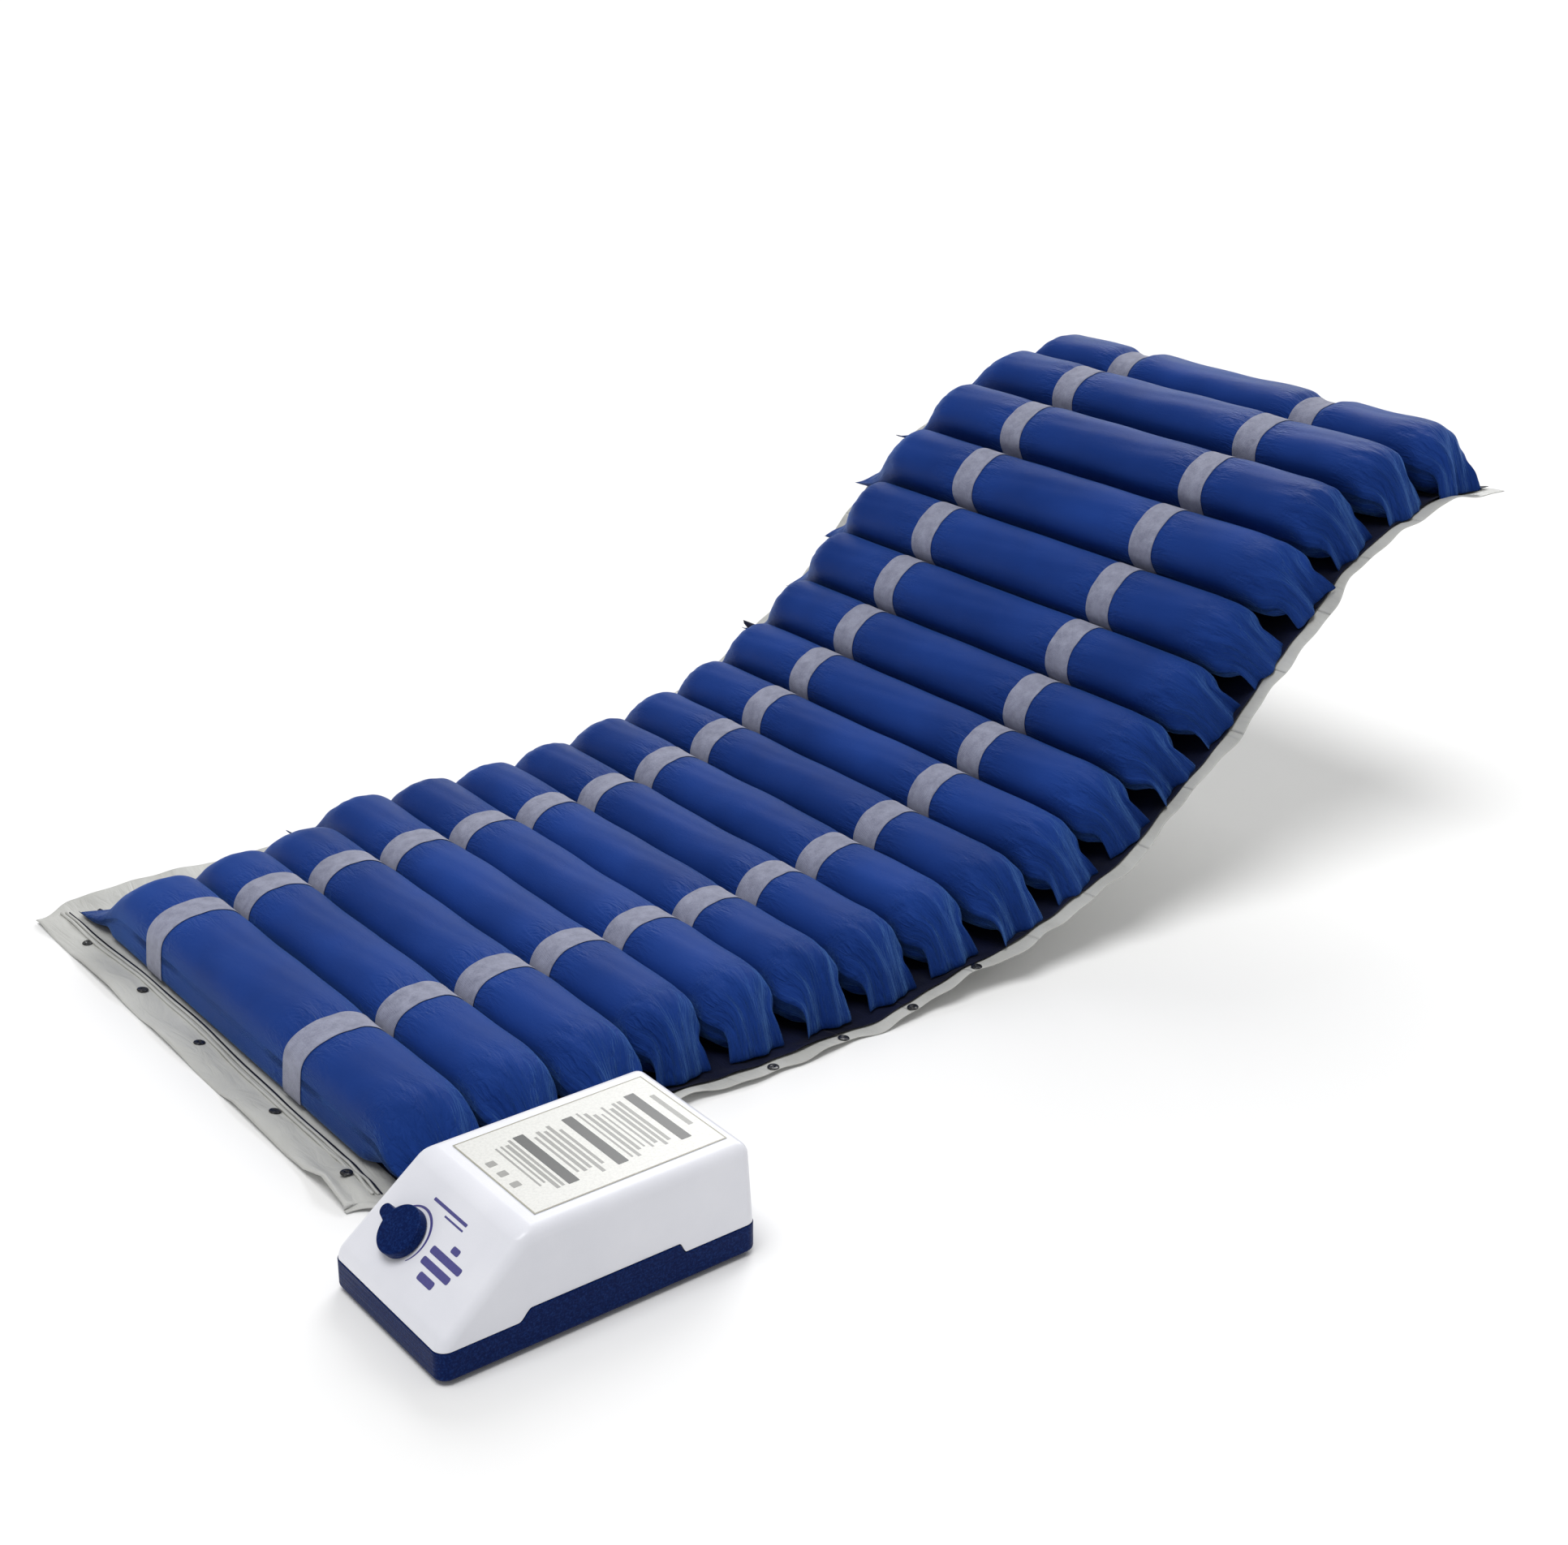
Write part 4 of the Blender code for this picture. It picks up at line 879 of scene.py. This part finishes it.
SLOPE_OUT = Vector(KNOB_JOINT["axis"]).normalized()


def shape_object(name, shape, *materials, angle=35):
    bmesh.ops.recalc_face_normals(shape, faces=shape.faces)
    obj = link_object(name, mesh_of(name, shape), *materials)
    sharpen(obj, angle)
    return obj


def seam_line(grow):
    """The seam's height along the long sides, as (x, z) points, with rounded corners at the stepped panel."""
    points = []
    for start, run, foot in ((PANEL_FRONT - PANEL_SLANT - grow, PANEL_SLANT, 0),
                             (PANEL_BACK + grow, PANEL_SLANT / 2, 1)):
        for share in (k / 8 for k in range(9)):
            climb = abs(foot - smooth_step(share))
            points.append((start + run * share, SEAM + grow + PANEL_STEP * climb))
    return points


def cut_at_seam(obj, keep_above):
    """Cuts a casing half along the seam: the cover keeps what is above it, and the base what is below it."""
    grow = SEAM_GAP if keep_above else -SEAM_GAP
    far = 0.0 if keep_above else 0.2
    outline = [(-0.3, far), (-0.3, SEAM + grow), *seam_line(grow), (0.3, SEAM + grow), (0.3, far)]
    tool = shape_object("seam_tool", plate(outline, (Vector(), X, Z, Y), -0.2, 0.2))
    tool.location = PUMP_CENTRE
    bpy.context.view_layer.update()
    add_modifier(obj, "BOOLEAN", object=tool, operation="DIFFERENCE", solver="EXACT")
    baked(obj)
    bpy.data.objects.remove(tool, do_unlink=True)
    sharpen(obj, 32)
    bevel(obj, 0.0006, 2, 55)
    add_modifier(obj, "WEIGHTED_NORMAL", keep_sharp=True)
    baked(obj)


def make_pump_case(white, navy):
    front, back = -PUMP_LENGTH / 2, PUMP_LENGTH / 2
    nose = front + NOSE_STEP
    outline = [(front, 0.020), (nose, SLOPE_LOW), (nose + SLOPE_RUN, PUMP_TOP),
               (back - BACK_DRAFT, PUMP_TOP), (back, 0.020)]
    shape = plate(outline, (Vector(), X, Z, Y), -PUMP_WIDTH / 2, PUMP_WIDTH / 2)
    for vert in shape.verts:
        if vert.co.z > PUMP_TOP - 0.001:
            vert.co.y -= math.copysign(TOP_INSET, vert.co.y)
    cover = shape_object("pump_case", shape, white, angle=180)
    cover.location = PUMP_CENTRE
    bevel(cover, CASE_CORNER, 8, 25)
    cut_at_seam(cover, keep_above=True)
    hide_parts("pump_cover")
    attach(cover, "pump")

    footprint = bar((0, 0), (PUMP_LENGTH, PUMP_WIDTH), corner=CASE_CORNER, steps=10)
    tray = plate(footprint, (PUMP_CENTRE, X, Y, Z), PUMP_UNDERSIDE, SEAM + PANEL_STEP + 0.006)
    base = shape_object("pump_tray", tray, navy, angle=180)
    bevel(base, 0.0034, 3, 60)
    cut_at_seam(base, keep_above=False)
    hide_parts("pump_base")
    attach(base, "pump")


def plate(points_2d, place, low, high):
    """A plate from an outline of (across, up) points: place is its plane's origin, across, up and outward."""
    origin, across, up, out = place
    shape = bmesh.new()
    near, far = ([shape.verts.new(origin + across * a + up * b + out * level) for a, b in points_2d]
                 for level in (low, high))
    shape.faces.new(near)
    shape.faces.new(far[::-1])
    for k in range(len(near)):
        after = (k + 1) % len(near)
        shape.faces.new((near[k], near[after], far[after], far[k]))
    return shape


def bar(centre, size, corner=0.0, steps=4):
    """A rectangle's outline, with rounded corners where it has a corner radius."""
    points = []
    for quarter, (side_x, side_y) in enumerate(((1, 1), (-1, 1), (-1, -1), (1, -1))):
        for k in range(steps + 1 if corner else 1):
            angle = math.pi / 2 * (quarter + k / steps)
            x = side_x * (size[0] / 2 - corner) + corner * math.cos(angle)
            y = side_y * (size[1] / 2 - corner) + corner * math.sin(angle)
            points.append((centre[0] + x, centre[1] + y))
    return points


def joined(shapes):
    whole = bmesh.new()
    for shape in shapes:
        mesh = mesh_of("part", shape)
        whole.from_mesh(mesh)
        bpy.data.meshes.remove(mesh)
    return whole


def slope_place():
    """The control face's plane: its origin is at the knob's axis, across is -Y, and up is towards the top."""
    axis_point = Vector(KNOB_JOINT["pos_m"])
    foot = Vector((PUMP_CENTRE.x - PUMP_LENGTH / 2 + NOSE_STEP, axis_point.y, SLOPE_LOW))
    on_face = axis_point - SLOPE_OUT * (axis_point - foot).dot(SLOPE_OUT)
    return on_face, -Y, SLOPE_UP, SLOPE_OUT


KNOB_RADIUS, KNOB_HEIGHT = 0.0268, 0.0128
POINTER_REACH, POINTER_RADIUS, POINTER_FLARE = 0.034, 0.0073, 1.12
KNOB_REST_DEG = 81.0
SCALE_INNER, SCALE_OUTER = 0.0296, 0.0326
SCALE_FROM_DEG, SCALE_TO_DEG, SCALE_STEPS = 52.0, -128.0, 44
SLOPE_MARKS = (  # plain bars that stand for print: centre, (across, up) from the knob's axis, and size
    ((0.0660, -0.0060), (0.0507, 0.0080)), ((0.0693, 0.0070), (0.0545, 0.0080)),
    ((0.0720, 0.0193), (0.0130, 0.0072)), ((0.0642, -0.0193), (0.0273, 0.0086)),
    ((0.0310, 0.0440), (0.0620, 0.0034)), ((0.0450, 0.0375), (0.0340, 0.0020)),
)


def around_knob(radius, angle):
    """A point at an angle from the slope's upward line, positive towards +Y."""
    return -radius * math.sin(angle), radius * math.cos(angle)


def make_controls(navy, ink):
    place = slope_place()
    rest = math.radians(KNOB_REST_DEG)
    spread = math.asin(POINTER_RADIUS * POINTER_FLARE / KNOB_RADIUS)
    outline = [around_knob(KNOB_RADIUS, rest + spread + (math.tau - 2 * spread) * k / 72) for k in range(73)]
    tip = around_knob(POINTER_REACH, rest)
    for k in range(15):
        offset = around_knob(POINTER_RADIUS, rest - math.pi / 2 + math.pi * k / 14)
        outline.append((tip[0] + offset[0], tip[1] + offset[1]))
    knob = shape_object("pressure_dial", plate(outline, place, 0.0009, KNOB_HEIGHT), navy, angle=40)
    bevel(knob, 0.0018, 4, 50)
    baked(knob)
    sharpen(knob, 50)
    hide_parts("pressure_knob")
    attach(knob, "knob")

    outer, inner = [], []
    for k in range(SCALE_STEPS + 1):  # a crescent, widest at its middle
        turn = math.radians(SCALE_FROM_DEG + (SCALE_TO_DEG - SCALE_FROM_DEG) * k / SCALE_STEPS)
        growth = 0.30 + 0.70 * math.sin(math.pi * min(1.0, (k + 2) / (SCALE_STEPS + 2)))
        outer.append(around_knob(SCALE_INNER + (SCALE_OUTER - SCALE_INNER) * growth, turn))
        inner.append(around_knob(SCALE_INNER, turn))
    pieces = [plate(outer + inner[::-1], place, 0.00005, 0.00022)]
    for centre, size in SLOPE_MARKS:
        pieces.append(plate(bar(centre, size, corner=min(size) * 0.3), place, 0.00005, 0.00020))
    prints = shape_object("control_markings", joined(pieces), ink, angle=30)
    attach(prints, "pump")


def make_label(film_material, dark, grey, border):
    """A blank rating plate: border line, three thick bars and groups of thin lines that stand for print."""
    low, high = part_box("rating_label")
    centre = Vector(((low.x + high.x) / 2, (low.y + high.y) / 2, low.z))
    place = (centre, X, Y, Z)
    length, width = high.x - low.x, high.y - low.y
    outline = bar((0, 0), (length, width), corner=0.002)
    sheet = shape_object("label_film", plate(outline, place, 0.0, 0.0004), film_material)
    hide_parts("rating_label")
    line = 0.0016
    frame_bars = []
    for side in (-1, 1):
        frame_bars.append(bar((0, side * (width - line) / 2), (length, line)))
        frame_bars.append(bar((side * (length - line) / 2, 0), (line, width - 2 * line)))
    rng = np.random.default_rng(12)
    thick = [bar((x, 0.0), (0.0125, 0.107), corner=0.001) for x in (-0.053, 0.005, 0.0815)]
    thin = []
    for start, step, count in ((-0.083, 0.0062, 4), (-0.040, 0.0070, 5), (0.018, 0.0068, 8)):
        for k in range(count):
            reach = 0.108 * rng.uniform(0.72, 1.0)
            thin.append(bar((start + step * k, rng.normal(0, 0.003)), (rng.uniform(0.0018, 0.0046), reach)))
    thin += [bar((0.1005, 0.002), (0.006, 0.072))]
    thin += [bar((-0.101, y), (0.010, 0.010), corner=0.001) for y in (0.024, 0.002, -0.022)]
    pieces = [sheet]
    for name, bars, top, ink in (("label_border", frame_bars, 0.0005, border),
                                 ("label_bars", thick, 0.00055, dark), ("label_lines", thin, 0.0005, grey)):
        shapes = [plate(points, place, 0.0004, top) for points in bars]
        pieces.append(shape_object(name, joined(shapes), ink))
    for piece in pieces:
        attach(piece, "pump")


def dress_cad_nodes(looks):
    """Gives every CAD node that stays on show its finished material."""
    for prefix, material in looks.items():
        for name, obj in frame["nodes"].items():
            if name.startswith(prefix):
                if not obj.material_slots:
                    obj.data.materials.append(material)
                for slot in obj.material_slots:
                    slot.material = material


# ---- stage, camera, light
CAMERA_PLACE = (-1.0393, -2.3757, 1.3810)
CAMERA_AZIMUTH_DEG = 39.52
CAMERA_ELEVATION_DEG = 21.62
CAMERA_ROLL_DEG = 1.08
LENS_MM = 53.26
SHIFT = (-0.0481, -0.0233)


def make_camera():
    data = bpy.data.cameras.new("camera")
    data.lens = LENS_MM
    data.sensor_width = 36.0
    data.shift_x, data.shift_y = SHIFT
    data.clip_start, data.clip_end = 0.05, 60.0
    camera = bpy.data.objects.new("camera", data)
    azimuth, elevation = math.radians(CAMERA_AZIMUTH_DEG), math.radians(CAMERA_ELEVATION_DEG)
    level = math.cos(elevation)
    aim = Vector((math.sin(azimuth) * level, math.cos(azimuth) * level, -math.sin(elevation)))
    turn = aim.to_track_quat("-Z", "Y").to_matrix().to_4x4()
    roll = Matrix.Rotation(math.radians(CAMERA_ROLL_DEG), 4, "Z")
    camera.matrix_world = Matrix.Translation(CAMERA_PLACE) @ turn @ roll
    bpy.context.scene.collection.objects.link(camera)
    bpy.context.scene.camera = camera


AMBIENT = 0.37  # strength of the white surround as light; the camera sees it as plain white
SUNS = (  # name, direction it shines in, strength, and its width in degrees
    ("key", (0.22, 0.05, -1.0), 1.75, 34),
    ("rim", (-0.74, -0.60, -0.60), 1.35, 34),
)


def make_light():
    """Soft studio light: an even white surround, a broad key lamp above and a weaker rim lamp from behind."""
    world = bpy.data.worlds.new("studio")
    world.use_nodes = True
    background = world.node_tree.nodes["Background"]
    background.inputs["Color"].default_value = (1.0, 1.0, 1.0, 1.0)
    path = world.node_tree.nodes.new("ShaderNodeLightPath")
    strength = world.node_tree.nodes.new("ShaderNodeMapRange")
    strength.inputs["To Min"].default_value = AMBIENT
    world.node_tree.links.new(path.outputs["Is Camera Ray"], strength.inputs["Value"])
    world.node_tree.links.new(strength.outputs["Result"], background.inputs["Strength"])
    bpy.context.scene.world = world
    bpy.context.scene.view_settings.view_transform = "Standard"
    for name, toward, energy, angle in SUNS:
        lamp = bpy.data.lights.new(name, "SUN")
        lamp.energy = energy
        lamp.angle = math.radians(angle)
        light = bpy.data.objects.new(name, lamp)
        light.rotation_euler = Vector(toward).to_track_quat("-Z", "Y").to_euler()
        bpy.context.scene.collection.objects.link(light)


def make_stage():
    floor = Nodes("pale_floor", (0.93, 0.93, 0.93), 0.9, Specular_IOR_Level=0.1)
    corners = np.array([[(x, y, 0.0) for y in (-60, 60)] for x in (-60, 60)])
    link_object("floor", mesh_from("floor", corners), floor.material)


def main():
    # The navy cloth's near-black colour is partly painted shade, and it also draws the painted shade line beside
    # cell 1.
    white, navy_cloth_and_painted_shade, webbing = coated_sheet(), navy_fabric_and_painted_shade(), strap_webbing()
    case_white = moulded_plastic("case_white", (0.76, 0.77, 0.83), (0.84, 0.845, 0.90), 0.34, 380.0, 0.00010,
                                 Coat_Weight=0.15, Coat_Roughness=0.3)
    works = moulded_plastic("works_plastic_grey", (0.52, 0.53, 0.56), (0.66, 0.67, 0.70),
                            0.45, 500.0, 0.00015)
    navy, black = navy_plastic(), rubber()
    make_cells(cell_fabric(), webbing)
    make_sheets(white, navy_cloth_and_painted_shade)
    make_flap_trim(white, navy_cloth_and_painted_shade)
    make_studs(lacquered_stud())
    make_pump_case(case_white, navy)
    make_controls(navy, film("control_ink", (0.075, 0.070, 0.26)))
    make_label(film("label_film_white", (0.74, 0.74, 0.71)), film("label_ink_dark", (0.055, 0.058, 0.058)),
               film("label_ink_grey", (0.30, 0.30, 0.285)), film("label_ink_border", (0.30, 0.29, 0.22)))
    dress_cad_nodes({
        "rubber_foot": black, "diaphragm": black, "mains_gland": black, "mains_switch": black,
        "air_outlet": works, "valve_block": works, "air_distributor": works, "pressure_regulator": works,
        "case_screw": brushed_metal("screw_steel", (0.38, 0.38, 0.39), (0.60, 0.60, 0.61), 0.32),
        "swing_arm": brushed_metal("arm_steel", (0.36, 0.36, 0.37), (0.58, 0.58, 0.60), 0.35),
        "magnet_core": brushed_metal("core_steel", (0.24, 0.24, 0.25), (0.46, 0.46, 0.48), 0.42),
        "distributor_motor": brushed_metal("motor_steel", (0.42, 0.42, 0.43), (0.64, 0.64, 0.66), 0.30),
        "magnet_coil": winding(), "circuit_board": circuit_green(), "air_filter": foam(),
    })
    make_camera()
    make_stage()
    make_light()


main()
